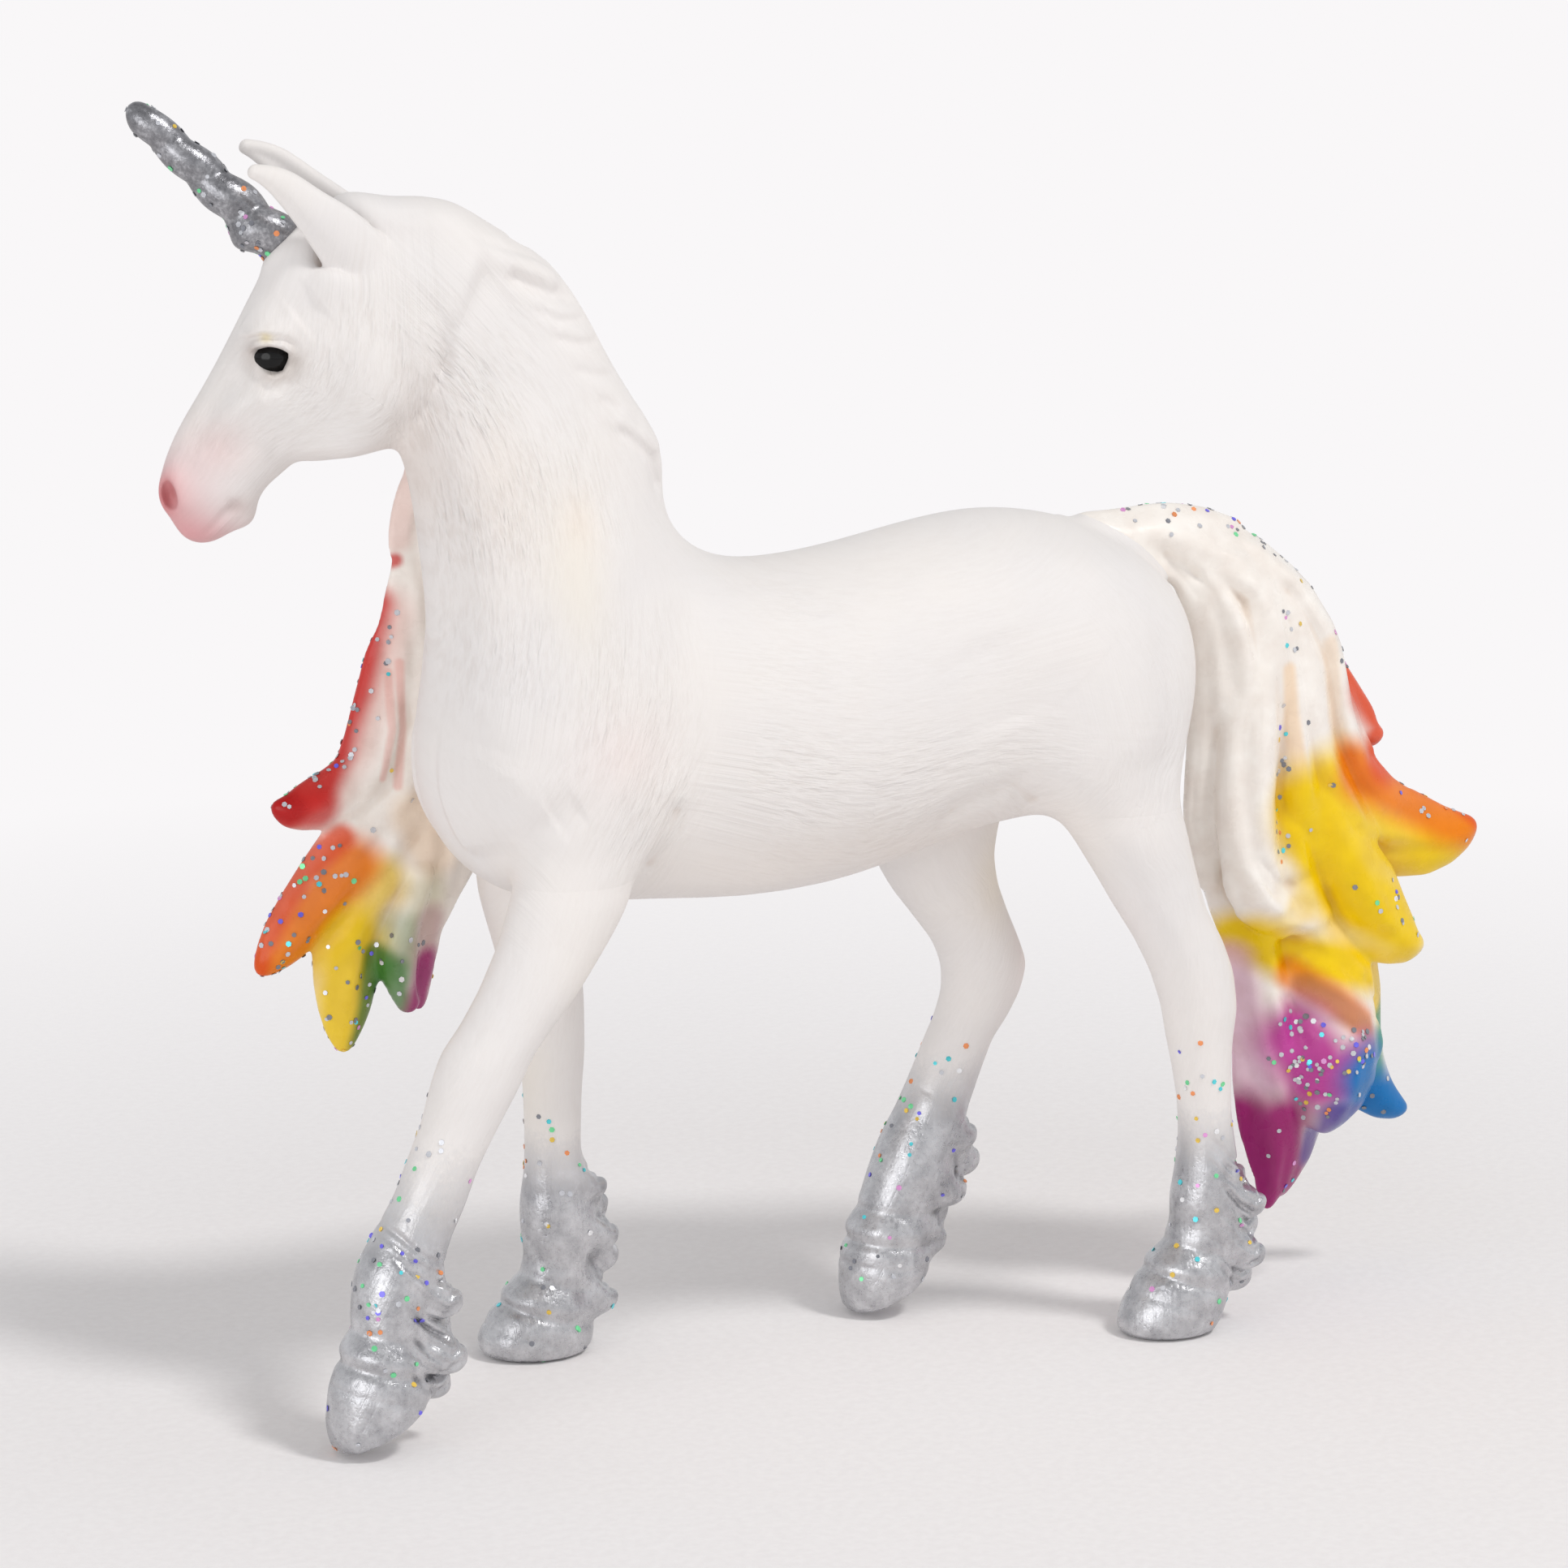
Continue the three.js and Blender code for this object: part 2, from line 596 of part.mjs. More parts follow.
// Leaf-shaped ear, cupped on the outer side: [along, half breadth, half thickness].
const earLeaf = [
  [0, 3, 1.8],
  [0.2, 2.9, 1.8],
  [0.42, 2.4, 1.6],
  [0.62, 1.9, 1.3],
  [0.82, 1.3, 1],
  [1, 0.5, 0.5],
];
const earHollow = [
  [0.24, 0.8, 0.7],
  [0.4, 1.4, 1.3],
  [0.6, 1.2, 1.1],
  [0.8, 0.5, 0.6],
];

function earShape(side) {
  const leaf = earLeaf.map(([t, broad, thin]) => [...earPoint(side, t), broad, thin]);
  const hollow = earHollow.map(([t, broad, thin]) => [
    ...earPoint(side, t, earHollowOut, earHollowDown), broad, thin,
  ]);
  return cut(
    lock(leaf, 0, [0, side, 0], 10, 2),
    lock(hollow, 0, [0, side, 0], 8, 1),
  );
}

// The seat in the head is the same leaf with the clearance all round and below.
function earSeat(side) {
  const leaf = earLeaf.map(([t, broad, thin], k) => {
    const sink = k === 0 ? glueGap : 0;
    const [x, y, z] = earPoint(side, t);
    return [x + sink, y, z - sink, broad, thin];
  });
  return lock(leaf, 0, [0, side, 0], 10, 2, glueGap);
}

// The neck stump behind the glue plane belongs to the body, the rest to the head.
function headSolid() {
  const neckTop = limb(trunkStations, 16, 2);
  const skull = onHead(headFrameSolid());
  const inFront = skull.add(neckTop).intersect(headSide(0));
  const eyes = [eyePlace, mirrored(eyePlace)].map((place) => onHead(eyeBall(place, eyeRadius + glueGap)));
  const nostrils = [nostrilPlace, mirrored(nostrilPlace)].map(([x, y, z]) => onHead(
    ball([x - 0.2, y * 1.12, z], 1, [0.9, 0.8, 1.5], 10),
  ));
  const seats = [
    onHead(earSeat(-1)),
    onHead(earSeat(1)),
    onHead(earPeg(-1, glueGap)),
    onHead(earPeg(1, glueGap)),
    onHead(hornShape(glueGap, glueGap)),
    onHead(hornPeg(glueGap)),
  ];
  return cut(join(inFront, headPeg(0)), ...eyes, ...nostrils, ...seats);
}

// Mane.

// The crest saddles the neck from between the ears down to the withers:
// [outer x, outer z, inner x, inner z, half width, centre y].
const crestStations = [
  [-47.5, 122.4, -45.5, 118.4, 2, 6.4],
  [-45, 124.2, -43.4, 117.8, 3.4, 5.8],
  [-40.5, 123.6, -40, 116.2, 4.6, 4.8],
  [-34.5, 123.2, -36, 114.8, 5.4, 3.6],
  [-28.5, 120.4, -32.5, 112.8, 6, 2.8],
  [-24.3, 116.9, -29.5, 110.2, 6.4, 2.2],
  [-21, 111.9, -27, 106.4, 6.6, 1.6],
  [-18.6, 107, -25, 102, 6.8, 1.2],
  [-16, 102.8, -22.5, 97.4, 6.8, 0.8],
  [-13.4, 98.2, -19.5, 93, 6.6, 0.6],
  [-12.8, 93.9, -17.5, 89.4, 5.6, 0.6],
  [-12.4, 90.2, -15.5, 87.2, 3.6, 0.6],
];

// Locks on the unicorn's right side: [x, y, z, half breadth, half thickness].
const fallLocks = [
  // a broad sheet down the side of the neck
  [
    [-25, 7.6, 110.4, 3.5, 1.4],
    [-27.5, 9.6, 101.4, 5.5, 2.2],
    [-30.5, 11.6, 89.4, 6.4, 2.6],
    [-33, 13.6, 76.4, 6.6, 2.8],
    [-36, 15, 64.4, 6.6, 2.8],
    [-38.8, 15.2, 54.4, 5.2, 2.4],
    [-40.6, 15, 46.4, 3, 1.6],
  ],
  // the hair behind it, over the shoulder
  [
    [-22.5, 8.4, 101, 3.6, 1.8],
    [-25, 12, 87, 5.6, 2.4],
    [-27, 14.8, 73, 6.2, 2.6],
    [-29.6, 15.6, 61, 5.8, 2.4],
    [-32.4, 15.8, 52, 4, 2],
    [-34, 15.6, 45, 2, 1.4],
  ],
  // short tuft under the throat
  [
    [-31, 9.4, 101.4, 2, 1.6],
    [-34.8, 10.8, 95.4, 2.4, 1.7],
    [-36.6, 11.6, 90.9, 1.9, 1.5],
    [-38, 12, 86.8, 1, 0.9],
    [-38.3, 12, 85.4, 0.4, 0.4],
  ],
  // red lock with an upturned tip
  [
    [-33.4, 11.6, 89.4, 2, 1.6],
    [-35.4, 12.6, 82.4, 2.4, 1.9],
    [-37, 13.6, 75.4, 2.8, 2.2],
    [-37.8, 14.2, 68.6, 3, 2.4],
    [-41, 14.4, 62.6, 3.1, 2.3],
    [-46, 14.2, 60.6, 2.9, 2],
    [-49.4, 14, 60.2, 1.9, 1.4],
    [-51, 14, 61.2, 0.6, 0.5],
  ],
  // orange lock
  [
    [-36.4, 14.6, 65.4, 2.5, 1.8],
    [-40, 15, 58.4, 3.5, 2.2],
    [-44.6, 15, 51.9, 3.8, 2.3],
    [-49.2, 14.8, 46.8, 3, 1.9],
    [-51.8, 14.6, 44, 1.6, 1.2],
    [-52.8, 14.6, 43, 0.5, 0.4],
  ],
  // yellow lock
  [
    [-39, 15.2, 59.4, 2.5, 1.8],
    [-41, 15.4, 51.4, 3.8, 2.2],
    [-42.4, 15.4, 44.4, 4, 2.3],
    [-43, 15.2, 38.4, 3, 1.9],
    [-43.2, 15, 35, 1.6, 1.2],
    [-43.2, 15, 33.6, 0.6, 0.5],
  ],
  // green and violet lock
  [
    [-33.4, 14.8, 62.4, 3, 1.8],
    [-34.2, 15.4, 54.4, 4, 2.1],
    [-34.8, 15.6, 47.4, 3.5, 2.1],
    [-35, 15.6, 41.8, 2.4, 1.7],
    [-34.8, 15.4, 38.2, 1.2, 0.9],
    [-34.6, 15.4, 37, 0.5, 0.4],
  ],
];

function crestSolid() {
  const saddle = limb(crestStations, 12, 2);
  const rooms = [
    limb(trunkStations, 16, 2, glueGap),
    onHead(headFrameSolid()).translate([0, 0, glueGap]),
    onHead(earSeat(-1)),
    onHead(earSeat(1)),
  ];
  const pegs = crestPegs.map(([a, b]) => pin(a, b, manePegRadius, manePegLength));
  return join(cut(saddle, ...rooms), ...pegs);
}

function fallSolid() {
  const hair = join(...fallLocks.map((rows) => lock(rows, 4, [0, 1, 0], 8, 2)));
  const pegs = fallPegs.map(([a, b]) => pin(a, b, manePegRadius, manePegLength));
  const room = join(
    limb(trunkStations, 16, 2, glueGap),
    limb(foreRight, 12, 1, glueGap),
    limb(crestStations, 12, 2, glueGap),
  );
  return join(cut(hair, room), ...pegs);
}

// Tail.

const tailLocks = [
  // dock and the main white fall
  [
    [34.5, 0, 85.2, 1.8, 2.4],
    [39, 0, 85, 2.6, 3],
    [44, 0, 84.4, 3.4, 3.6],
    [49.5, 0, 82, 4.4, 4.6],
    [54, 0, 77, 6, 5.4],
    [56.8, 0.2, 69.4, 7.4, 6],
    [57.6, 0.4, 60.4, 8.6, 6.4],
    [57.8, 0.4, 51.4, 9, 6.2],
    [59.4, 0.2, 43.4, 8, 5.4],
    [61.4, 0, 37.4, 5, 3.6],
  ],
  // outer white ridge from the dock down the back
  [
    [43, -0.6, 85.8, 1.6, 2],
    [50, -0.8, 83.8, 2, 2.6],
    [56.4, -1, 79.4, 2.4, 3],
    [61.4, -1, 73, 2.8, 3.2],
    [63.6, -0.8, 65.4, 3, 3.2],
    [66.4, -0.4, 57.4, 3.6, 3],
    [71, 0, 50.8, 5, 2.8],
    [77, 0.2, 48.8, 4.2, 2.4],
    [81, 0.2, 49.4, 2.4, 1.8],
    [82.6, 0.2, 50.4, 0.8, 0.8],
  ],
  // red tip that lifts away behind
  [
    [62, 1.6, 73.4, 1.6, 2],
    [65.6, 2, 66.6, 2.4, 2.2],
    [68.6, 2, 62, 2.6, 1.8],
    [71, 2, 60.4, 1.6, 1.2],
    [72, 2, 61.2, 0.5, 0.5],
  ],
  // yellow lock
  [
    [60, -2.4, 61.4, 3, 2.6],
    [63, -3, 52.4, 4, 3.2],
    [66.2, -3, 45, 4.6, 3.2],
    [70, -2.6, 39.8, 3.8, 2.6],
    [73.4, -2.2, 37.8, 2.3, 1.8],
    [75.2, -2, 38, 0.7, 0.7],
  ],
  // white strands on the near side, curling under
  [
    [47, -2.2, 80.4, 2, 1.8],
    [50.4, -4, 74.4, 2.8, 2.4],
    [51.6, -5, 65.4, 3.4, 2.6],
    [51.2, -5.4, 56.4, 3.8, 2.8],
    [52, -5.4, 48.4, 3.8, 2.8],
    [55, -5, 43.4, 3, 2.4],
    [59.4, -4.6, 42, 1.8, 1.6],
    [62.4, -4.4, 43, 0.6, 0.6],
  ],
  // inner strand next to the hock
  [
    [51, -1, 49.4, 3, 3],
    [54.4, -1, 40.4, 3.6, 3.4],
    [56, -1, 32.4, 3.8, 3.4],
    [57, -0.8, 24.4, 4.2, 3.2],
    [57.8, -0.6, 17.4, 4, 2.6],
    [57.6, -0.4, 12, 2.3, 1.5],
    [57.2, -0.4, 8.8, 0.5, 0.5],
  ],
  // orange and pink bulge
  [
    [60, -2.4, 41.4, 3, 2.6],
    [63.4, -3.2, 34.8, 4.6, 3.4],
    [64, -3.6, 27.4, 5.4, 3.8],
    [63.4, -3.2, 21.8, 4, 3],
    [61.6, -2.8, 18.4, 1.6, 1.4],
  ],
  // yellow-green lock that turns blue
  [
    [66, 0.4, 39.4, 4, 2.8],
    [67.8, 0.6, 32.4, 3.6, 2.8],
    [68.4, 0.8, 25.8, 3.4, 2.6],
    [70.8, 0.8, 20.8, 2.8, 2],
    [74, 0.8, 18.6, 1.6, 1.3],
    [75.6, 0.8, 18.6, 0.5, 0.5],
  ],
  // magenta back of the lowest lock
  [
    [61, 1, 29.4, 4, 2.6],
    [62, 1.2, 21.4, 3.6, 2.4],
    [61, 1.2, 14.8, 2.6, 2],
    [58.8, 0.6, 10.4, 1.2, 1],
  ],
];

function tailSolid() {
  const hair = join(...tailLocks.map((rows) => lock(rows, 4, [0, 1, 0], 8, 2)));
  const room = join(
    limb(trunkStations, 16, 2, glueGap),
    limb(hindLeft, 12, 1, glueGap),
    limb(hindRight, 12, 1, glueGap),
  );
  return join(cut(hair, room), tailPeg(0));
}

// Assembly.

const unicorn = new THREE.Group();
unicorn.name = 'unicorn';

function place(name, solid, look) {
  const mesh = new THREE.Mesh(toGeometry(solid), look);
  mesh.name = name;
  unicorn.add(mesh);
}

place('body', bodySolid(), whiteCoat);
place('head', headSolid(), whiteCoat);
place('leg_front_left', legSolid('leg_front_left'), whiteCoat);
place('leg_front_right', legSolid('leg_front_right'), whiteCoat);
place('leg_rear_left', legSolid('leg_rear_left'), whiteCoat);
place('leg_rear_right', legSolid('leg_rear_right'), whiteCoat);
place('mane_crest', crestSolid(), maneWhite);
place('mane_fall', fallSolid(), maneRainbow);
place('tail', tailSolid(), tailRainbow);
place('horn', onHead(hornShape(0).add(hornPeg(0))), silverPaint);
place('ear_left', onHead(earShape(-1).add(earPeg(-1, 0))), whiteCoat);
place('ear_right', onHead(earShape(1).add(earPeg(1, 0))), whiteCoat);
place('eye_left', onHead(eyeBall(eyePlace, eyeRadius)), blackGloss);
place('eye_right', onHead(eyeBall(mirrored(eyePlace), eyeRadius)), blackGloss);

// The record's origin is the middle of the box's underside.
const box = new THREE.Box3().setFromObject(unicorn);
unicorn.position.set(-(box.min.x + box.max.x) / 2, -(box.min.y + box.max.y) / 2, -box.min.z);
unicorn.updateMatrixWorld(true);

const group = new THREE.Group();
group.name = 'unicorn_figurine';
group.add(unicorn);
group.updateMatrixWorld(true);

export default group;
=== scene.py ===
"""Unicorn figurine: sculpts the moulded surfaces over the CAD solids and paints them.

Shapes are worked out in millimetres in the sculpting frame: the unicorn walks towards -X, its
near (left) side is -Y, its mid-plane is y = 0 and the soles stand on z = 0.
"""

import math

import bpy
import numpy as np
import openvdb as vdb
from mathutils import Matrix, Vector


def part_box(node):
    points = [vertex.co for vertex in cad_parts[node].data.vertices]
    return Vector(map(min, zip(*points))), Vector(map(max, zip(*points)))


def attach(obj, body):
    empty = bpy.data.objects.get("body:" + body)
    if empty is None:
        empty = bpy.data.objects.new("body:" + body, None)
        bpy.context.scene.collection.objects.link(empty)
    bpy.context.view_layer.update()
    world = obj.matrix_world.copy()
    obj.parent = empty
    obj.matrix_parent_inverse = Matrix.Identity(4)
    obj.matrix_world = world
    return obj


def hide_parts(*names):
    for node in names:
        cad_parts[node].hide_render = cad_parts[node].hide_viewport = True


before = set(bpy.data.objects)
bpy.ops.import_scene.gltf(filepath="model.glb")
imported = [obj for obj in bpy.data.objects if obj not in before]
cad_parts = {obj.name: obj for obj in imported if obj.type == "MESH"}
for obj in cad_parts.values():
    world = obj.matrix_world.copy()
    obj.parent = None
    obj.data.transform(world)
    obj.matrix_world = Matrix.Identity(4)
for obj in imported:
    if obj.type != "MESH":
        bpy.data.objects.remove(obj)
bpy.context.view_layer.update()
scene = bpy.context.scene

MM = 0.001
FINE = 1.0
BAND = 4.2                          # distances are kept to this far from a surface
SKIN_PITCH, HAIR_PITCH, LEG_PITCH = 0.3 * FINE, 0.22 * FINE, 0.22 * FINE   # grid steps

POLL = np.array([-38.0, 3.0, 111.4])      # the head's own origin, between the ears
HEAD_TURN = math.radians(-24)
EYE = np.array([-14.6, -5.1, -3.4])       # middle of the near eye, in the head's own frame


def turned(x, y, angle):
    c, s = math.cos(angle), math.sin(angle)
    return x * c - y * s, x * s + y * c


def on_head(point):
    """A point of the head's own frame, nose towards -X, in the sculpting frame."""
    x, y, z = point
    return POLL + np.array([*turned(x, y, HEAD_TURN), z])


def head_frame(x, y, z):
    """The way back, also for grid coordinates."""
    return *turned(x - POLL[0], y - POLL[1], -HEAD_TURN), z - POLL[2]


eye_low, eye_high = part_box("eye_left")
SHIFT = np.array((eye_low + eye_high) / 2) / MM - on_head(EYE)   # sculpting frame to model frame


# Grids of distances.


class Block:
    """Distances in mm from a surface on a regular grid, negative inside."""

    def __init__(self, low, high, pitch):
        self.pitch = pitch
        self.start = np.floor(np.array(low) / pitch).astype(int)
        self.shape = tuple(np.ceil(np.array(high) / pitch).astype(int) - self.start + 1)
        self.value = np.full(self.shape, BAND, np.float32)

    def like(self, value, first=(0, 0, 0)):
        """The same grid with other values, or the part of it that starts at a cell."""
        other = Block.__new__(Block)
        other.pitch, other.start = self.pitch, self.start + first
        other.shape, other.value = value.shape, value
        return other

    def around(self, low, high):
        """The part of the grid in a box, with its x, y and z."""
        first = np.floor(np.array(low) / self.pitch).astype(int) - self.start
        last = np.ceil(np.array(high) / self.pitch).astype(int) - self.start + 1
        first = np.clip(first, 0, self.shape)
        last = np.clip(last, first, self.shape)
        part = tuple(slice(a, b) for a, b in zip(first, last))
        x, y, z = (
            (np.arange(a, b) + s).astype(np.float32) * self.pitch
            for a, b, s in zip(first, last, self.start)
        )
        return part, x[:, None, None], y[None, :, None], z[None, None, :]

    def all(self):
        low = self.start * self.pitch
        return self.around(low, low + (np.array(self.shape) - 1) * self.pitch)

    def sample(self, points):
        """Distance at each point, interpolated between grid points."""
        place = points / self.pitch - self.start
        base = np.clip(np.floor(place).astype(int), 0, np.array(self.shape) - 2)
        t = (place - base).astype(np.float32)
        i, j, k = base.T
        total = np.zeros(len(points), np.float32)
        for dx in (0, 1):
            for dy in (0, 1):
                for dz in (0, 1):
                    share = (
                        (t[:, 0] if dx else 1 - t[:, 0])
                        * (t[:, 1] if dy else 1 - t[:, 1])
                        * (t[:, 2] if dz else 1 - t[:, 2])
                    )
                    total += share * self.value[i + dx, j + dy, k + dz]
        return total


def melt(a, b, k):
    """Union of two distance fields with a fillet about k wide."""
    h = np.maximum(k - np.abs(a - b), 0) / k
    return np.minimum(a, b) - h * h * k * 0.25


def node_block(name, low, high, pitch):
    """Distances from one CAD node."""
    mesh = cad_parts[name].data
    mesh.calc_loop_triangles()
    points = np.empty(len(mesh.vertices) * 3, np.float32)
    mesh.vertices.foreach_get("co", points)
    corners = np.empty(len(mesh.loop_triangles) * 3, np.int32)
    mesh.loop_triangles.foreach_get("vertices", corners)
    block = Block(low, high, pitch)
    grid = vdb.FloatGrid.createLevelSetFromPolygons(
        (points.reshape(-1, 3) / MM - SHIFT).astype(np.float32),
        triangles=corners.reshape(-1, 3).astype(np.uint32),
        transform=vdb.createLinearTransform(voxelSize=pitch),
        halfWidth=BAND / pitch,
    )
    grid.copyToArray(block.value, ijk=tuple(int(s) for s in block.start))
    return block


def blurred(value, cells):
    """Averages over so many cells each way, three times, which is close to a Gaussian."""
    half = int(cells / 2)
    width = half * 2 + 1
    for _ in range(3):
        for axis in range(3):
            pad = [(half + 1, half) if a == axis else (0, 0) for a in range(3)]
            total = np.cumsum(np.pad(value, pad, mode="edge"), axis=axis, dtype=np.float32)
            ahead = [slice(None)] * 3
            behind = [slice(None)] * 3
            ahead[axis] = slice(width, None)
            behind[axis] = slice(None, -width)
            value = (total[tuple(ahead)] - total[tuple(behind)]) / width
    return value


def between(a, b, c, d, t):
    """The smooth curve through four values, at t from 0 to 1 between the middle two."""
    return 0.5 * (
        2 * b + (c - a) * t + (2 * a - 5 * b + 4 * c - d) * t * t
        + (3 * b - a - 3 * c + d) * t * t * t
    )


def resampled(block, start, shape, pitch):
    """The block's distances on another grid, by cubic interpolation along each axis in turn."""
    value = block.value
    for axis in range(3):
        place = (np.arange(shape[axis]) + start[axis]) * pitch / block.pitch
        place = np.clip(place - block.start[axis], 1, block.shape[axis] - 3)
        base = np.floor(place).astype(int)
        along = [1, 1, 1]
        along[axis] = -1
        t = (place - base).astype(np.float32).reshape(along)
        value = between(*(np.take(value, base + s, axis=axis) for s in (-1, 0, 1, 2)), t)
    return value.astype(np.float32)


def smoothstep(low, high, value):
    t = np.clip((value - low) / (high - low), 0, 1)
    return t * t * (3 - 2 * t)


def to_segment(a, b, *point):
    """How far along a segment each point lies, from 0 to 1, and its distance from it."""
    d = [q - p for p, q in zip(a, b)]
    off = [v - p for v, p in zip(point, a)]
    square = max(sum(e * e for e in d), 1e-9)
    t = np.clip(sum(o * e for o, e in zip(off, d)) / square, 0, 1)
    return t, np.sqrt(sum((o - t * e) ** 2 for o, e in zip(off, d)))


# Sculpting strokes.


def swell(block, centre, radii, height, turn=0.0):
    """Raises the surface round a point by up to 'height', or sinks it."""
    centre, radii = np.array(centre), np.array(radii)
    reach = 2.4 * max(radii)
    part, x, y, z = block.around(centre - reach, centre + reach)
    u, v = turned(x - centre[0], y - centre[1], -turn)
    block.value[part] -= height * np.exp(
        -((u / radii[0]) ** 2 + (v / radii[1]) ** 2 + ((z - centre[2]) / radii[2]) ** 2)
    )


def stroke(block, line, width, height, side, inner, head=False):
    """Draws a ridge, or with a height below 0 a furrow, along a line of (x, z) points.

    The line is seen from the side: side is -1 for the near one and 1 for the far one. Only what
    is further out than 'inner' is drawn on.
    """
    line = np.array(line, float)
    turn = HEAD_TURN if head else 0.0
    origin = POLL if head else np.zeros(3)
    ends = np.array([origin + [*turned(x, 0, turn), z] for x, z in line])
    reach = 2.4 * width + (16 if not head else 9)
    part, x, y, z = block.around(ends.min(0) - reach, ends.max(0) + reach)
    z = z - origin[2]
    u, v = turned(x - origin[0], y - origin[1], -turn)
    if block.value[part].size == 0:
        return
    best = np.full(np.broadcast_shapes(u.shape, z.shape), 1e3, np.float32)
    lengths = np.hypot(*(line[1:] - line[:-1]).T)
    run = np.concatenate([[0], np.cumsum(lengths)])
    fade = np.ones_like(best)
    for k in range(len(line) - 1):
        t, far = to_segment(line[k], line[k + 1], u, z)
        along = (run[k] + t * lengths[k]) / run[-1]
        nearer = far < best
        best = np.where(nearer, far, best)
        fade = np.where(nearer, np.minimum(1, 5 * np.minimum(along, 1 - along) + 0.25), fade)
    mask = smoothstep(inner, inner + 1.0, v * side)
    block.value[part] -= height * fade * mask * np.exp(-((best / width) ** 2))


def band(block, point, normal, radius, width, height):
    """Draws a ring round a limb where a plane crosses it."""
    normal = np.array(normal) / np.linalg.norm(normal)
    part, x, y, z = block.around(np.array(point) - radius, np.array(point) + radius)
    x, y, z = x - point[0], y - point[1], z - point[2]
    away = x * normal[0] + y * normal[1] + z * normal[2]
    near = 1 - smoothstep(radius * 0.75, radius, np.sqrt(x * x + y * y + z * z))
    block.value[part] -= height * near * np.exp(-((away / width) ** 2))


def tube(block, points, radii, blend):
    """Melts a tapered round strand into the block."""
    points, radii = np.array(points, float), np.array(radii, float)
    reach = radii.max() + blend + 1.0
    whole = block.around(points.min(0) - reach, points.max(0) + reach)[0]
    own = block.like(np.full_like(block.value[whole], BAND), [s.start for s in whole])
    for a, b, ra, rb in zip(points[:-1], points[1:], radii[:-1], radii[1:]):
        part, x, y, z = own.around(np.minimum(a, b) - reach, np.maximum(a, b) + reach)
        t, far = to_segment(a, b, x, y, z)
        own.value[part] = np.minimum(own.value[part], far - ra - t * (rb - ra))
    block.value[whole] = melt(block.value[whole], own.value, blend)


def curve(rows, steps):
    """Catmull-Rom points through rows of numbers."""
    rows = np.array(rows, float)
    padded = np.vstack([rows[:1], rows, rows[-1:]])
    t = np.linspace(0, 1, steps, endpoint=False)[:, None]
    out = [between(*four, t) for four in zip(padded, padded[1:], padded[2:], padded[3:])]
    return np.vstack(out + [rows[-1:]])


def strand(block, rows, steps, blend):
    """Melts in a tapered strand along a curve through rows of x, y, z and radius."""
    path = curve(rows, steps)
    tube(block, path[:, :3], path[:, 3], blend)


# From a grid to a piece.


def surface(block, floor=None):
    """Points and faces of the block's surface, each point drawn onto it."""
    if floor is not None:
        block.value = np.maximum(block.value, floor - block.all()[3])
    grid = vdb.FloatGrid(BAND)
    grid.copyFromArray(block.value)
    points, quads = grid.convertToQuads(isovalue=0.0)
    points = (np.array(points) + block.start) * block.pitch
    step = block.pitch * 0.5
    for _ in range(2):
        here = block.sample(points)
        slope = np.stack([
            (block.sample(points + e) - block.sample(points - e)) / (2 * step)
            for e in np.eye(3) * step
        ], axis=1)
        square = np.maximum((slope ** 2).sum(1), 0.25)
        move = slope * (here / square)[:, None]
        points = points - np.clip(move, -step, step)
    return points, np.array(quads)


def add_piece(name, points, faces, node, material):
    """A smooth-shaded mesh object in the model frame."""
    mesh = bpy.data.meshes.new(name)
    mesh.vertices.add(len(points))
    mesh.vertices.foreach_set("co", ((points + SHIFT) * MM).astype(np.float32).ravel())
    sides = faces.shape[1]
    mesh.loops.add(faces.size)
    mesh.loops.foreach_set("vertex_index", faces.astype(np.int32).ravel())
    mesh.polygons.add(len(faces))
    mesh.polygons.foreach_set("loop_start", np.arange(0, faces.size, sides, dtype=np.int32))
    mesh.update(calc_edges=True)
    mesh.validate()
    mesh.polygons.foreach_set("use_smooth", np.ones(len(mesh.polygons), bool))
    mesh.materials.append(material)
    piece = bpy.data.objects.new(name, mesh)
    scene.collection.objects.link(piece)
    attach(piece, "root")
    if node:
        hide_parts(node)
    return piece


def paint(piece, name, colours):
    """Stores one colour a vertex for the material to read."""
    layer = piece.data.color_attributes.new(name, "FLOAT_COLOR", "POINT")
    rgba = np.ones((len(piece.data.vertices), 4), np.float32)
    rgba[:, : colours.shape[1]] = colours
    layer.data.foreach_set("color", rgba.ravel())


# The white body: one smooth skin over the CAD solids, shared out among its pieces.

SKIN_NODES = (
    "body", "head", "leg_front_left", "leg_front_right", "leg_rear_left", "leg_rear_right",
    "mane_crest",
)
SKIN_LOW, SKIN_HIGH = (-66.0, -19.5, -1.5), (54.0, 20.0, 128.0)
LAP = 0.9                           # how far a piece runs on beneath its neighbour
MOULD_FILLET = 0.8                  # where two pieces of the skin meet
CLOSE_BLUR, BROAD_BLUR = 1.5, 4.5   # widths of the smoothing: limbs and head, and the trunk
# Where the broad one sets in above the legs, and where the neck ends it, upwards and forwards.
TRUNK_FROM, NECK_FROM, NECK_BEFORE = (46, 60), (92, 104), (-28, -38)


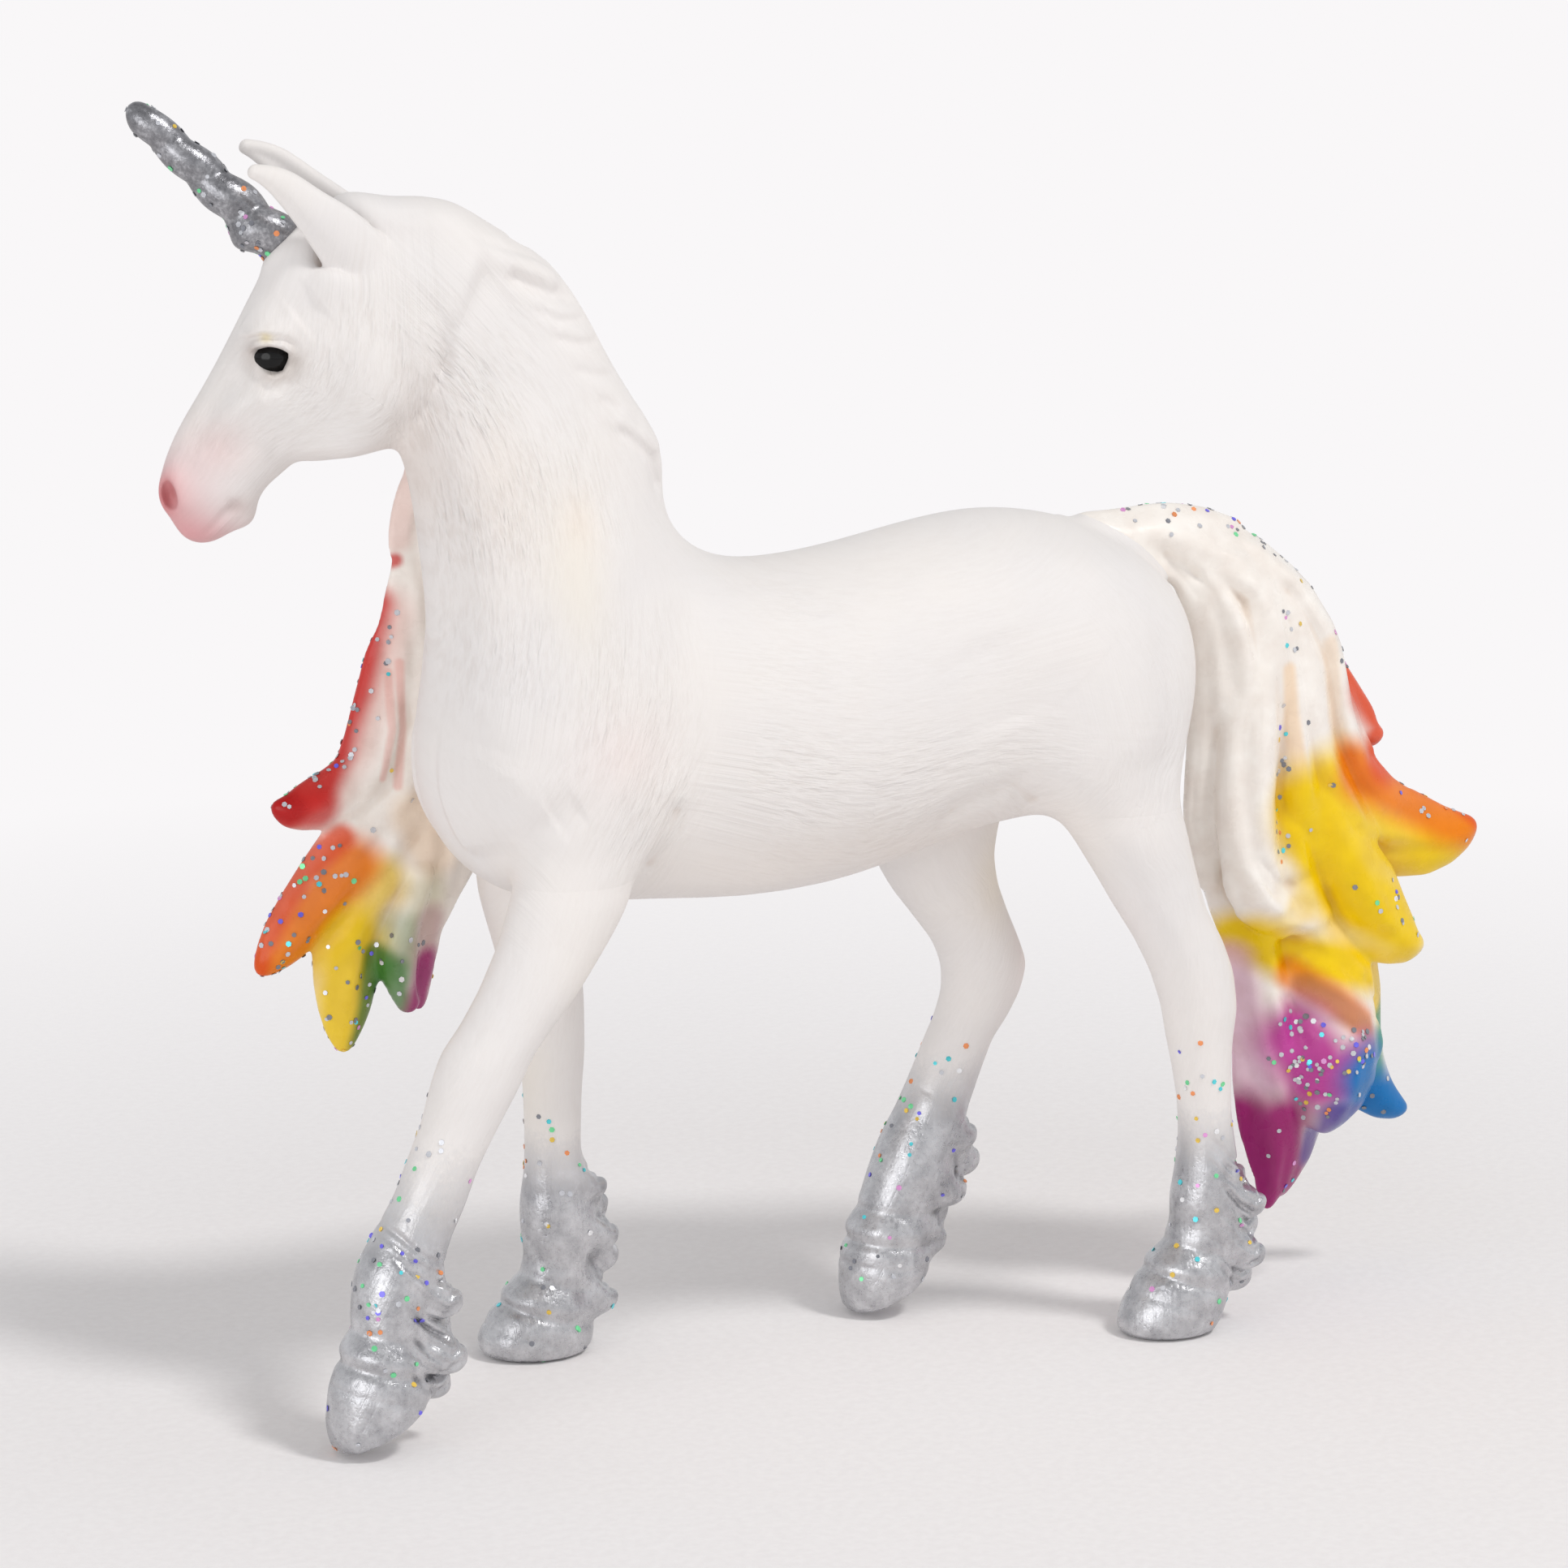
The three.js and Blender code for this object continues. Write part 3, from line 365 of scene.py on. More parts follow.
def skin():
    """The joined skin, and for each node how far a point is from that node's share."""
    alone = [node_block(name, SKIN_LOW, SKIN_HIGH, SKIN_PITCH).value for name in SKIN_NODES]
    whole = alone[0]
    for value in alone[1:]:
        whole = melt(whole, value, MOULD_FILLET)
    shares = {}
    for i, name in enumerate(SKIN_NODES):
        others = None
        for j, value in enumerate(alone):
            if j != i:
                others = value if others is None else np.minimum(others, value)
        shares[name] = (alone[i] - others) * 0.5
    del alone
    close = blurred(whole, CLOSE_BLUR / SKIN_PITCH)
    broad = blurred(whole, BROAD_BLUR / SKIN_PITCH) - 0.15
    block = Block(SKIN_LOW, SKIN_HIGH, SKIN_PITCH)
    _, x, _, z = block.all()
    neck = smoothstep(*NECK_FROM, z) * smoothstep(*NECK_BEFORE, x)
    torso = smoothstep(*TRUNK_FROM, z) * (1 - neck)
    block.value = (close + torso * (broad - close)).astype(np.float32)
    return block, shares


# Muscles and folds seen from the side: a line of (x, z), its width and its height.
BODY_STROKES = [
    ([(-42.7, 113.4), (-38, 109.4), (-32, 105), (-26, 101.5)], 2.6, -0.45),  # behind the jaw
    ([(-40.4, 101), (-40.2, 95), (-38.6, 87), (-38, 80)], 1.6, -0.5),        # under the throat
    ([(-36, 101), (-34.5, 92), (-34.4, 83), (-35.6, 75)], 2.6, 0.45),        # front of the neck
    ([(-21, 92), (-26, 82), (-31, 73)], 3.2, 0.45),                         # shoulder blade
    ([(-15, 84), (-17, 74), (-19.5, 65)], 2.6, -0.45),                      # behind the shoulder
    ([(-36, 70), (-38, 64), (-34.6, 58)], 3.4, 0.5),                        # point of the chest
    ([(-30.6, 63.8), (-33.2, 61), (-34.7, 59.4), (-35.4, 57), (-35.8, 54.8)], 1.8, -0.3),
    ([(-28.6, 64.8), (-31.4, 63.2)], 2.2, -0.35),                           # pocket at the elbow
    ([(-17, 64), (-18.2, 59), (-19.6, 55.6)], 1.3, -0.5),                   # behind the elbow
    ([(25.8, 58.2), (21, 61.6), (16.6, 60.6), (12, 58.4)], 1.4, -0.6),      # flank fold
    ([(16, 78), (19, 68)], 4.0, -0.5),                                      # hollow of the flank
    ([(24, 80), (31, 72), (34, 63)], 4.0, 0.35),                            # thigh
    ([(37, 78), (37.5, 68), (37, 60)], 2.0, -0.3),                          # back of the thigh
]
CREST_STROKES = [
    ([(-41, 122), (-37, 121), (-33.5, 120.6), (-31, 119), (-27.6, 118)], 0.575, -0.19),
    ([(-34, 120), (-30.2, 118.8), (-27, 118.3)], 0.575, -0.14),
    ([(-31, 116.2), (-28.8, 115), (-26.3, 113.7), (-23.2, 113.2)], 0.92, -0.37),
    ([(-31.4, 117.4), (-28.6, 116.6), (-24.6, 115.6)], 1.265, 0.22),
    ([(-28.4, 112.6), (-25.8, 111.2), (-22.4, 111)], 0.575, -0.19),
    ([(-26.6, 109.6), (-24, 108.8), (-21, 108.6)], 0.575, -0.19),
    ([(-25, 106.4), (-22, 105.6), (-19.4, 105.4)], 0.575, -0.15),
    ([(-22.6, 103.4), (-19.6, 102), (-16.6, 100)], 0.69, -0.22),
    ([(-21.2, 100.6), (-18.6, 98.9), (-16.4, 97), (-15.2, 92.6)], 0.92, -0.37),
    ([(-20.4, 102), (-17.4, 100.4), (-14.8, 97)], 1.265, 0.22),
    ([(-27, 118), (-23, 116), (-20.6, 112.6)], 0.69, -0.19),
    ([(-19.4, 107.6), (-16.6, 103.6), (-14, 99.6)], 0.575, -0.15),
]
# The same on the head, in its own frame.
# Behind the jaw, and on the near side only.
JAW_STROKES = [([(0.6, 3), (2.3, -0.6), (2.5, -5), (1.8, -8), (0.2, -10.4)], 1.3, -0.45)]
HEAD_STROKES = [
    ([(-14.6, -7), (-18, -8.4), (-20.6, -10.6)], 0.9, 0.4),                 # cheek ridge
    ([(-17.6, -4.6), (-20.6, -8.6), (-23.2, -13)], 1.6, -0.45),             # side of the nose
    ([(-13.2, -12), (-16.6, -11), (-20, -12.6)], 1.4, -0.45),               # before the jowl
    ([(-9.6, 2.4), (-12, 0.4)], 2.0, -0.4),                                 # temple
    ([(-18, -1.4), (-15.4, 0), (-12, -0.8)], 1.3, 0.45),                    # brow
]
LID_STROKES = [
    ([(-17.1, -2.8), (-16, -2.05), (-14.8, -1.8), (-13.2, -2), (-12.2, -2.9)], 0.36, 0.36),
    ([(-17.3, -1.7), (-15.5, -1.05), (-13.2, -1.25), (-12, -2)], 0.36, -0.3),
    ([(-16.4, -3.3), (-15.5, -4.5), (-14.4, -5.3), (-13.2, -4.8), (-12.5, -3.6)], 0.4, 0.26),
    ([(-16.8, -4.6), (-15.4, -6.1), (-13.6, -6.4), (-12.2, -5.2)], 0.6, -0.22),
    ([(-18.3, -18.5), (-19.6, -19.3), (-20.7, -20.7), (-22, -21.9)], 0.42, -0.75),   # mouth
    ([(-18.9, -18.9), (-18.2, -18.3)], 0.8, -0.4),
]
EYE_RIM = [
    (-15.9, -2.6), (-15.2, -3.55), (-14.1, -4.75), (-13.5, -4.6), (-12.95, -3.4), (-12.9, -2.75),
    (-14, -2.5), (-15.1, -2.42),
]
EYE_SOCKET, EYE_SUNK = (2.4, 1.6, 1.9), -0.2
NOSTRIL, NOSTRIL_HOLE, NOSTRIL_LEAN = (-25.35, 4.4, -17.2), (0.85, 1.7, 1.7), 0.22
NOSTRIL_RIM, NOSTRIL_RISE = (1.5, 1.5, 2.5), 0.45
# Rounded forms of the head: middle, radii and height. One off the mid-plane is on both sides.
HEAD_FORMS = [
    ((-4.5, 5.6, -5.4), (5.5, 2.6, 5.2), 0.45),     # round cheek
    ((-13.0, 0, -18.8), (2.4, 7, 2.2), -2.0),       # notch behind the chin
    ((-17.4, 0, -20.2), (1.8, 3.4, 1.8), 0.5),      # chin
    ((-22.4, 0, -21.6), (2.4, 3.4, 1.8), 0.8),      # lower lip
    ((-25.6, 3.0, -17.4), (2.0, 2.6, 3.0), 0.6),    # wings of the nose
    ((-13.0, 0, 6.8), (2.6, 3.0, 2.6), 0.9),        # collar of the horn
    ((-7.5, 3.6, -12.4), (4.6, 2.8, 1.9), 0.8),     # the jowl hangs below the jaw
    ((-13.2, 0, -13.4), (2.2, 6, 2.0), -0.8),       # and the jaw rises before it
    ((-8.5, 4.6, 4.5), (1.8, 1.5, 2.0), 1.3),       # the foot of each ear runs into the brow
]


def draw(block, strokes, inner, head=False, sides=(-1, 1)):
    for line, width, height in strokes:
        for side in sides:
            stroke(block, line, width, height, side, inner, head)


# Legs: for each, a point and a normal of the rim of the hoof, and its fetlock tufts (x, y, z and
# radius).
LEGS = {
    "leg_front_left": ((-49.4, -12.5, 8.6), (0.25, 0, 1), [
        (-43.6, -11, 17.6, 1.5), (-42.4, -13.6, 15, 1.7), (-42.6, -10.6, 12, 1.7),
        (-42, -13.4, 9, 1.9), (-43, -11.4, 6, 1.6),
    ]),
    "leg_front_right": ((-23.4, 11.6, 4.6), (0.28, 0, 1), [
        (-17, 10, 17.6, 1.5), (-16, 12.6, 15, 1.7), (-15.8, 10, 12.2, 1.7),
        (-15, 12.6, 9.2, 2), (-15.6, 10.6, 5, 1.7),
    ]),
    "leg_rear_left": ((41, -8.8, 6.2), (0.3, 0, 1), [
        (49.2, -8, 16, 1.5), (50.6, -10.4, 13.2, 1.6), (50.8, -7.8, 10.4, 1.8),
        (50.6, -10.2, 7.6, 1.8), (50, -8.4, 4.8, 1.6),
    ]),
    "leg_rear_right": ((16.8, 10.1, 8), (0.1, 0, 1), [
        (25.6, 9, 18.8, 1.7), (26.8, 11.2, 15.4, 2), (24.2, 8.6, 12.8, 1.8),
        (23.2, 11, 10, 1.7), (22.4, 9.4, 7.2, 1.5),
    ]),
}
# A tuft from root to tip: x and z from its middle, and its radius as a share of the whole.
TUFT_PATH = [
    (-4.2, 3.6, 0.7), (-2.6, 1.7, 0.92), (-1.2, 0.4, 0.86), (-0.3, 0.1, 0.66), (0.2, 0.3, 0.45),
]
# The furrows between its hairs, the same way, and how far they are raised for each.
TUFT_FURROW, TUFT_LIFTS = [(-5.4, 3.4), (-3, 0.9), (-0.8, -0.5), (0.6, 0.2)], (0.0, 1.3, 2.4)
# Rings round the hoof: how far above the rim, reach, width and height.
HOOF_RINGS = [(0, 7, 0.55, -0.3), (1.4, 7, 0.9, 0.25), (3.4, 6, 0.6, -0.2), (-2.4, 7, 0.3, -0.07)]


def leg_details(block, name):
    rim, slope, tufts = LEGS[name]
    for x, y, z, radius in tufts:
        strand(block, [(x + dx, y, z + dz, radius * r) for dx, dz, r in TUFT_PATH], 4, 1.6)
    for x, y, z, radius in tufts:
        for lift in TUFT_LIFTS:
            line = [(x + dx, z + dz + lift) for dx, dz in TUFT_FURROW]
            stroke(block, line, 0.36, -0.34, -1 if y < 0 else 1, inner=abs(y) - 1.4)
    lumps(block, 26, (0, 20), 0.9, 0.09)
    for up, reach, width, height in HOOF_RINGS:
        band(block, np.array(rim) + np.array(slope, float) * up, slope, reach, width, height)


def lumps(block, count, heights, radius, height):
    """Little rises and hollows scattered over the surface, for the casting's uneven folds."""
    z = block.all()[3]
    near = (np.abs(block.value) < 0.3) & (z > heights[0]) & (z < heights[1])
    places = np.argwhere(near)
    chance = np.random.default_rng(7)
    for place in places[chance.integers(0, len(places), count)]:
        r = radius * chance.uniform(0.6, 1.3)
        rise = height * chance.choice((-1, 1)) * chance.uniform(0.5, 1.2)
        swell(block, (place + block.start) * block.pitch, (r * 1.4, r, r * 0.8), rise)


# Ears: how far along, how far the middle bows up, the half breadth and the half thickness.
EAR_FOOT = np.array([-5.6, 3.3, 4.6])
EAR_TIPS = {-1: np.array([-15.8, 4.3, 15.1]), 1: np.array([-17.4, 4.3, 16.7])}
EAR_LEAF = [
    (-0.06, 0.7, 3.3, 1.3), (0.14, 1.0, 3.4, 1.35), (0.36, 1.25, 2.9, 1.2), (0.58, 1.15, 2.15, 1.0),
    (0.8, 0.95, 1.55, 0.8), (0.92, 0.45, 1.05, 0.65), (1.0, -0.2, 0.55, 0.5),
]
EAR_STRANDS = 9
# The slit of the cup: how far along, how far above the middle line, and its radius.
EAR_SLIT = [
    (0.32, -0.8, 0.18), (0.42, -0.6, 0.38), (0.56, -0.3, 0.46), (0.72, -0.1, 0.4),
    (0.86, -0.2, 0.22),
]
EAR_REACH = 3.7                     # what is nearer to its middle line than this is ear


def ear_line(side, t):
    x, y, z = EAR_FOOT + (EAR_TIPS[side] - EAR_FOOT) * t
    return np.array([x, side * (y + 0.6 * math.sin(math.pi * min(t, 1))), z])


def ear_axes(side):
    """Upwards across the ear and outwards from it, for its near or far side of the head."""
    along = on_head(ear_line(side, 1)) - on_head(ear_line(side, 0))
    along /= np.linalg.norm(along)
    out = on_head((0, side, 0)) - on_head((0, 0, 0))
    across = np.cross(along, out)
    across /= np.linalg.norm(across)
    if across[2] < 0:
        across = -across
    face = np.cross(across, along)
    return across, face if face @ out > 0 else -face


def ears(block):
    """Adds both ears, cupped along the lower front edge."""
    for side in (-1, 1):
        across, out = ear_axes(side)
        rows = curve([
            (*(on_head(ear_line(side, t)) + across * rise), b, h) for t, rise, b, h in EAR_LEAF
        ], 5)
        for i in range(EAR_STRANDS):
            a = (i + 0.5) / EAR_STRANDS * 2 - 1
            path = rows[:, :3] + np.outer(rows[:, 3] - rows[:, 4] * 0.5, across) * a
            path += np.outer(rows[:, 4] * (0.3 - 0.6 * a * a), out)
            tube(block, path, rows[:, 4] * 0.6, 0.6)
        hollow = curve([
            (*(on_head(ear_line(side, t)) + across * rise + out * 1.15), r)
            for t, rise, r in EAR_SLIT
        ], 5)
        dent = Block(hollow[:, :3].min(0) - 3, hollow[:, :3].max(0) + 3, block.pitch)
        tube(dent, hollow[:, :3], hollow[:, 3], 0.1)
        first = dent.start - block.start
        part = tuple(slice(a, a + n) for a, n in zip(first, dent.shape))
        block.value[part] = -melt(-block.value[part], dent.value, 0.35)


def ear_share(block, side):
    """How far each grid point is outside the ear's own room."""
    across = ear_axes(side)[0]
    ends = [on_head(ear_line(side, t)) + across for t in (0.36, 1.1)]
    return to_segment(*ends, *block.all()[1:])[1] - EAR_REACH


def head_details(block):
    draw(block, LID_STROKES, 2.2, head=True)
    for side in (-1, 1):
        x, y, z = EYE
        middle = on_head((x - 0.2, side * 5.6, z - 0.4))
        swell(block, middle, EYE_SOCKET, EYE_SUNK, HEAD_TURN)
        part, gx, gy, gz = block.around(*around_point(on_head((x, side * 5.5, z)), 5))
        u, v, w = head_frame(gx, gy, gz)
        opening = 3.6 - v * side
        for (ax, az), (bx, bz) in zip(EYE_RIM, EYE_RIM[1:] + EYE_RIM[:1]):
            dx, dz = bx - ax, bz - az
            edge = ((u - ax) * dz - (w - az) * dx) / math.hypot(dx, dz)
            opening = np.maximum(opening, edge)     # the lids bound it
        block.value[part] = -melt(-block.value[part], opening, 0.22)
        x, y, z = NOSTRIL
        probe = on_head((x - 2, side * 9, z)), on_head((x + 2, 0, z))
        swell(block, settled(block, *probe), NOSTRIL_RIM, NOSTRIL_RISE, HEAD_TURN)
        place = settled(block, *probe)
        part, gx, gy, gz = block.around(*around_point(place, 4))
        u, v, w = head_frame(gx, gy, gz)
        x, y, z = head_frame(*place)
        a, b, c = NOSTRIL_HOLE
        lean = u - x + NOSTRIL_LEAN * (w - z)
        hole = np.sqrt((lean / a) ** 2 + ((v - y) / b) ** 2 + ((w - z) / c) ** 2) - 1
        block.value[part] = -melt(-block.value[part], hole * a, 0.3)


def settled(block, start, end):
    """Where a straight line first meets the block's surface."""
    points = np.array([start + (end - start) * t for t in np.linspace(0, 1, 200)])
    inside = block.sample(points) < 0
    return points[int(np.argmax(inside))]


def around_point(point, reach):
    """The low and the high corner of a cube."""
    return np.array(point) - reach, np.array(point) + reach


def node_room(name, margin):
    """The low and the high corner of a CAD node's box, with a margin."""
    low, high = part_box(name)
    return np.array(low) / MM - SHIFT - margin, np.array(high) / MM - SHIFT + margin


def lap(block, share):
    """Keeps one piece's share of the skin, and runs it on a little beneath its neighbour."""
    value = np.maximum(block.value + 0.15 * np.maximum(share, 0), share - LAP)
    return block.like(value.astype(np.float32))


ROOT_LOW, ROOT_HIGH = (32.0, -9.0, 74.0), (53.0, 9.0, 91.0)     # about the root of the tail


def join_root(own, other, share):
    """Melts the rump and the dock of the tail together where they meet."""
    part, _, _, z = own.around(ROOT_LOW, ROOT_HIGH)
    start = own.start + [s.start for s in part]
    there = resampled(other, start, [s.stop - s.start for s in part], own.pitch)
    there = there + 5 * (1 - smoothstep(75, 81, z))
    here = own.value[part].copy()
    own.value[part] = melt(here, there, 3.0)
    share[part] = np.maximum(share[part], (here - there) * 0.5)


# Grid step of a piece, and what is added below and above its box.
PIECE_GRIDS = {
    "body": (SKIN_PITCH, (0, 0, 0), (0, 0, 0)), "head": (0.17 * FINE, (1, 3, 0), (0, 0, 7)),
    "mane_crest": (0.25 * FINE, (1, 3, 2), (0, 3, 0)),
}


def skin_pieces(block, shares, tail, material):
    pieces = {}
    for name in SKIN_NODES:
        pitch, below, above = PIECE_GRIDS.get(name, (LEG_PITCH, (0, 0, 0), (0, 0, 0)))
        low, high = node_room(name, 2.6)
        own = Block(low - below, high + above, pitch)
        own.value = resampled(block, own.start, own.shape, pitch)
        share = resampled(block.like(shares[name]), own.start, own.shape, pitch)
        if name in LEGS:
            leg_details(own, name)
        if name == "head":
            head_details(own)
            ears(own)
            for side, ear in ((-1, "ear_left"), (1, "ear_right")):
                room = ear_share(own, side)
                points, faces = surface(lap(own, room))
                pieces[ear] = add_piece(ear + "_sculpted", points, faces, ear, material)
                coat_attributes(pieces[ear], ear, points, own)
                share = np.maximum(share, -room)
        if name == "body":
            join_root(own, tail, share)
        points, faces = surface(lap(own, share), floor=0.0 if name in LEGS else None)
        pieces[name] = add_piece(name + "_sculpted", points, faces, name, material)
        coat_attributes(pieces[name], name, points, own)
    return pieces


# Hair: the CAD solids softened, with strands drawn where the photograph shows them.

RELIEF = (-0.5, 0.55)               # no strand is deeper or higher than this


def hair_block(name, soft):
    low, high = node_room(name, 2.0)
    block = node_block(name, low, high, HAIR_PITCH)
    block.value = blurred(block.value, soft / HAIR_PITCH) - 0.05
    return block


MANE_STROKES = [
    ([(-37, 96), (-37.4, 90), (-38, 86)], 0.72, -0.23),
    ([(-36, 89), (-35, 82), (-34, 76), (-34, 71), (-35.4, 68)], 0.84, -0.33),
    ([(-36.8, 84), (-36.6, 78), (-36, 72), (-36.4, 66)], 0.84, -0.3),
    ([(-38.4, 80), (-38.4, 73), (-39.6, 66), (-42.6, 61), (-46.5, 59.4)], 1.08, -0.3),
    ([(-37.4, 75), (-36.9, 68.5), (-37.9, 62), (-41, 58.8), (-44.5, 57.2)], 0.96, -0.4),
    ([(-40, 79), (-40.6, 73), (-42, 67), (-45, 62.4), (-49, 60.4)], 1.2, 0.27),
    ([(-34.4, 61), (-39.3, 56.6), (-44.5, 52.6), (-48.6, 48)], 0.96, -0.3),
    ([(-33, 58), (-38, 53.4), (-43, 48.6), (-46.8, 45.2)], 0.96, -0.4),
    ([(-36, 58.4), (-41.6, 53.6), (-47, 48.6), (-51, 44.4)], 1.2, 0.27),
    ([(-33, 56), (-37, 50.6), (-40.4, 45), (-42.4, 38.6)], 0.96, -0.3),
    ([(-34.6, 54), (-39.6, 48), (-43.6, 42.6), (-44.6, 38)], 0.96, -0.23),
    ([(-31.6, 55), (-34.6, 49), (-37.4, 43.4), (-38.6, 40)], 1.08, -0.46),
    ([(-30.6, 54), (-33, 48), (-34.8, 43), (-35.6, 38.6)], 0.84, -0.3),
    ([(-29, 56), (-31, 50), (-33, 44), (-34, 40)], 0.84, -0.23),
    ([(-30, 62), (-31.6, 56), (-33, 50)], 0.84, -0.26),
    ([(-27, 60), (-29, 54), (-31.4, 48)], 0.84, -0.26),
]
MANE_FAR_STROKES = [
    ([(-26, 110), (-29, 101), (-32, 90), (-34, 78), (-37, 66), (-42, 55), (-49, 47)], 0.96, -0.4),
    ([(-24, 107), (-27, 98), (-30, 88), (-32, 76), (-35, 64), (-39, 53), (-43, 42)], 0.96, -0.46),
    ([(-22, 104), (-25, 94), (-27.6, 84), (-29.6, 72), (-32, 60), (-34.6, 49), (-36, 40)], 0.96, -0.46),
    ([(-20.6, 100), (-23, 91), (-25, 80), (-27, 69), (-29.6, 58), (-32, 50)], 0.96, -0.4),
    ([(-28, 108), (-31, 99), (-34, 88), (-36, 77), (-38, 68), (-42, 61), (-48, 60)], 0.96, -0.4),
    ([(-25, 109), (-28, 99), (-31, 89), (-33, 77), (-36, 65), (-40.6, 54), (-46, 46)], 1.2, 0.27),
    ([(-23, 105), (-26, 96), (-28.8, 86), (-31, 74), (-33.6, 62), (-37, 51), (-40, 42)], 1.2, 0.27),
    ([(-21.4, 102), (-24, 92), (-26.4, 82), (-28.4, 70), (-31, 59), (-33.4, 49)], 1.2, 0.27),
]
TAIL_STROKES = [
    ([(36, 85.4), (42, 84.2), (45.8, 80), (46.9, 74), (46.4, 66), (46.4, 57), (47.6, 49)], 1.08, -0.4),
    ([(42.9, 82.4), (47.6, 78.4), (49, 73.5), (49.4, 67.7), (47.6, 61.5), (47, 54),
      (48.4, 47)], 0.96, -0.53),
    ([(45.8, 82.8), (51, 77.6), (51.9, 71), (50.2, 63.4), (50.2, 56.5), (51.2, 50.5), (54, 46.4),
      (58, 44.4)], 0.96, -0.59),
    ([(44, 83.8), (52.2, 80.4), (56.2, 75), (57, 69), (56, 62.7), (55, 56.4), (55.2, 50)], 1.08, -0.59),
    ([(43.3, 84.7), (51.5, 83), (58, 77), (62.2, 69.5), (63.6, 62), (66.2, 56.4), (70.5, 52.2),
      (75, 51)], 0.96, -0.53),
    ([(44, 86), (54.4, 84), (61, 78.8), (65, 71.8), (66, 65.3), (68.4, 59), (73.6, 54.6)], 0.84, -0.4),
    ([(47, 81.6), (53.4, 79), (54, 71), (53, 63), (52.6, 55), (53.2, 49)], 1.56, 0.41),
    ([(50, 82), (57.4, 79), (60, 72), (60.4, 64), (62, 57), (66, 51.6), (73, 48.6)], 1.56, 0.41),
    ([(56.4, 74.4), (57.8, 66.3), (60.2, 58.1), (64.4, 52), (70.4, 48.6), (76, 48)], 0.96, -0.53),
    ([(55, 56.4), (58.5, 51.6), (61, 46), (65, 41), (70.4, 39)], 0.96, -0.46),
    ([(56.6, 60), (60.4, 53), (63.6, 46.6), (68.4, 42.2), (73, 40.6)], 1.32, 0.27),
    ([(49, 50), (50.8, 45), (54, 43.2), (58.4, 43.6)], 0.84, -0.4),
    ([(51.6, 49.6), (53.8, 47), (57.6, 46.6), (60, 47.6)], 0.84, -0.4),
    ([(51.2, 41), (54.4, 37.3), (56.6, 34), (60.6, 31), (65.4, 30), (68.4, 30.6)], 0.96, -0.4),
    ([(51.2, 41.8), (56.6, 41.4), (62.3, 37.6), (67, 33.6), (69.4, 29)], 1.08, -0.53),
    ([(52, 39), (52.6, 31.6), (54.4, 25), (57, 21.4)], 0.96, -0.4),
    ([(54, 38), (55, 32), (56.6, 26.4), (59, 21)], 0.84, -0.33),
    ([(57.6, 37), (58.4, 31), (60, 25), (62, 21.4)], 0.96, -0.26),
    ([(54, 24), (54.8, 17), (56.6, 11)], 0.84, -0.33),
    ([(57, 22), (58.4, 16), (58.4, 11)], 0.84, -0.26),
    ([(66.6, 36), (67.8, 31), (68.4, 25.6), (71, 20.6)], 0.84, -0.26),
    ([(65, 70), (68, 65), (70.6, 61)], 0.72, -0.23),
]


def engrave(block, drawings):
    """Adds strokes to the hair, none of them deep enough to cut through a thin lock."""
    relief = block.like(np.zeros(block.shape, np.float32))
    for strokes, inner, sides in drawings:
        draw(relief, strokes, inner, sides=sides)
    block.value += np.clip(relief.value, *RELIEF)


def hair_piece(name, kept, block, sprays, material):
    points, faces = surface(kept)
    piece = add_piece(name + "_sculpted", points, faces, name, material)
    paint(piece, "tint", sprayed(points, CREAM, sprays))
    flat_mask(piece, "hollow", hollows(block, 1.6, points, 0.45))
    return piece


# The near edge of the lowest lock: x, y, z and radius.
VIOLET_LOCK = [
    (-35, 13.6, 52, 1.8), (-37.2, 13.8, 46.4, 2.3), (-37.5, 13.8, 42.2, 2.0), (-36.5, 13.8, 39, 1.3),
]


def mane_piece(material):
    block = hair_block("mane_fall", 1.0)
    strand(block, VIOLET_LOCK, 5, 1.2)
    engrave(block, [(MANE_STROKES, 3, (1,)), (MANE_FAR_STROKES, 14.5, (1,))])
    return hair_piece("mane_fall", block, block, MANE_SPRAYS, material)


# The strand that lies against the haunch: x, y, z and radius.
TAIL_EDGE = [
    (44.6, -1.4, 81.8, 1.2), (47.2, -2.0, 76, 1.9), (47.9, -2.2, 70, 2.1), (47.6, -2.2, 62, 2.1),
    (47.5, -2.0, 54, 2.0), (48.8, -1.8, 47.6, 1.5),
]
# One that fills the valley beneath the dock.
TAIL_TOP = [
    (44.4, -1.8, 83.6, 1.2), (49.6, -2.6, 80.6, 1.7), (52.8, -3, 75.4, 1.9), (53.4, -3, 68, 1.9),
    (52.4, -3, 60, 1.7), (52, -2.8, 53, 1.4),
]
# Places filled out: middle, radii and height.
TAIL_FORMS = [
    ((56.5, 0, 33), (4, 5, 4), 0.7), ((61.4, -3, 26.4), (3.6, 4, 4), 0.9),
    ((49.4, -3, 65.5), (1.8, 2.4, 3.4), 0.9),
]


def tail_block():
    block = hair_block("tail", 1.2)
    for middle, radii, height in TAIL_FORMS:
        swell(block, middle, radii, height)
    for rows in (TAIL_EDGE, TAIL_TOP):
        strand(block, rows, 5, 1.6)
    engrave(block, [(TAIL_STROKES, -0.6, (-1, 1))])
    return block


def tail_piece(block, skin_block, material):
    share = np.full(block.shape, -BAND, np.float32)
    join_root(block, skin_block, share)
    return hair_piece("tail", lap(block, share), block, TAIL_SPRAYS, material)


# Horn and eyes.

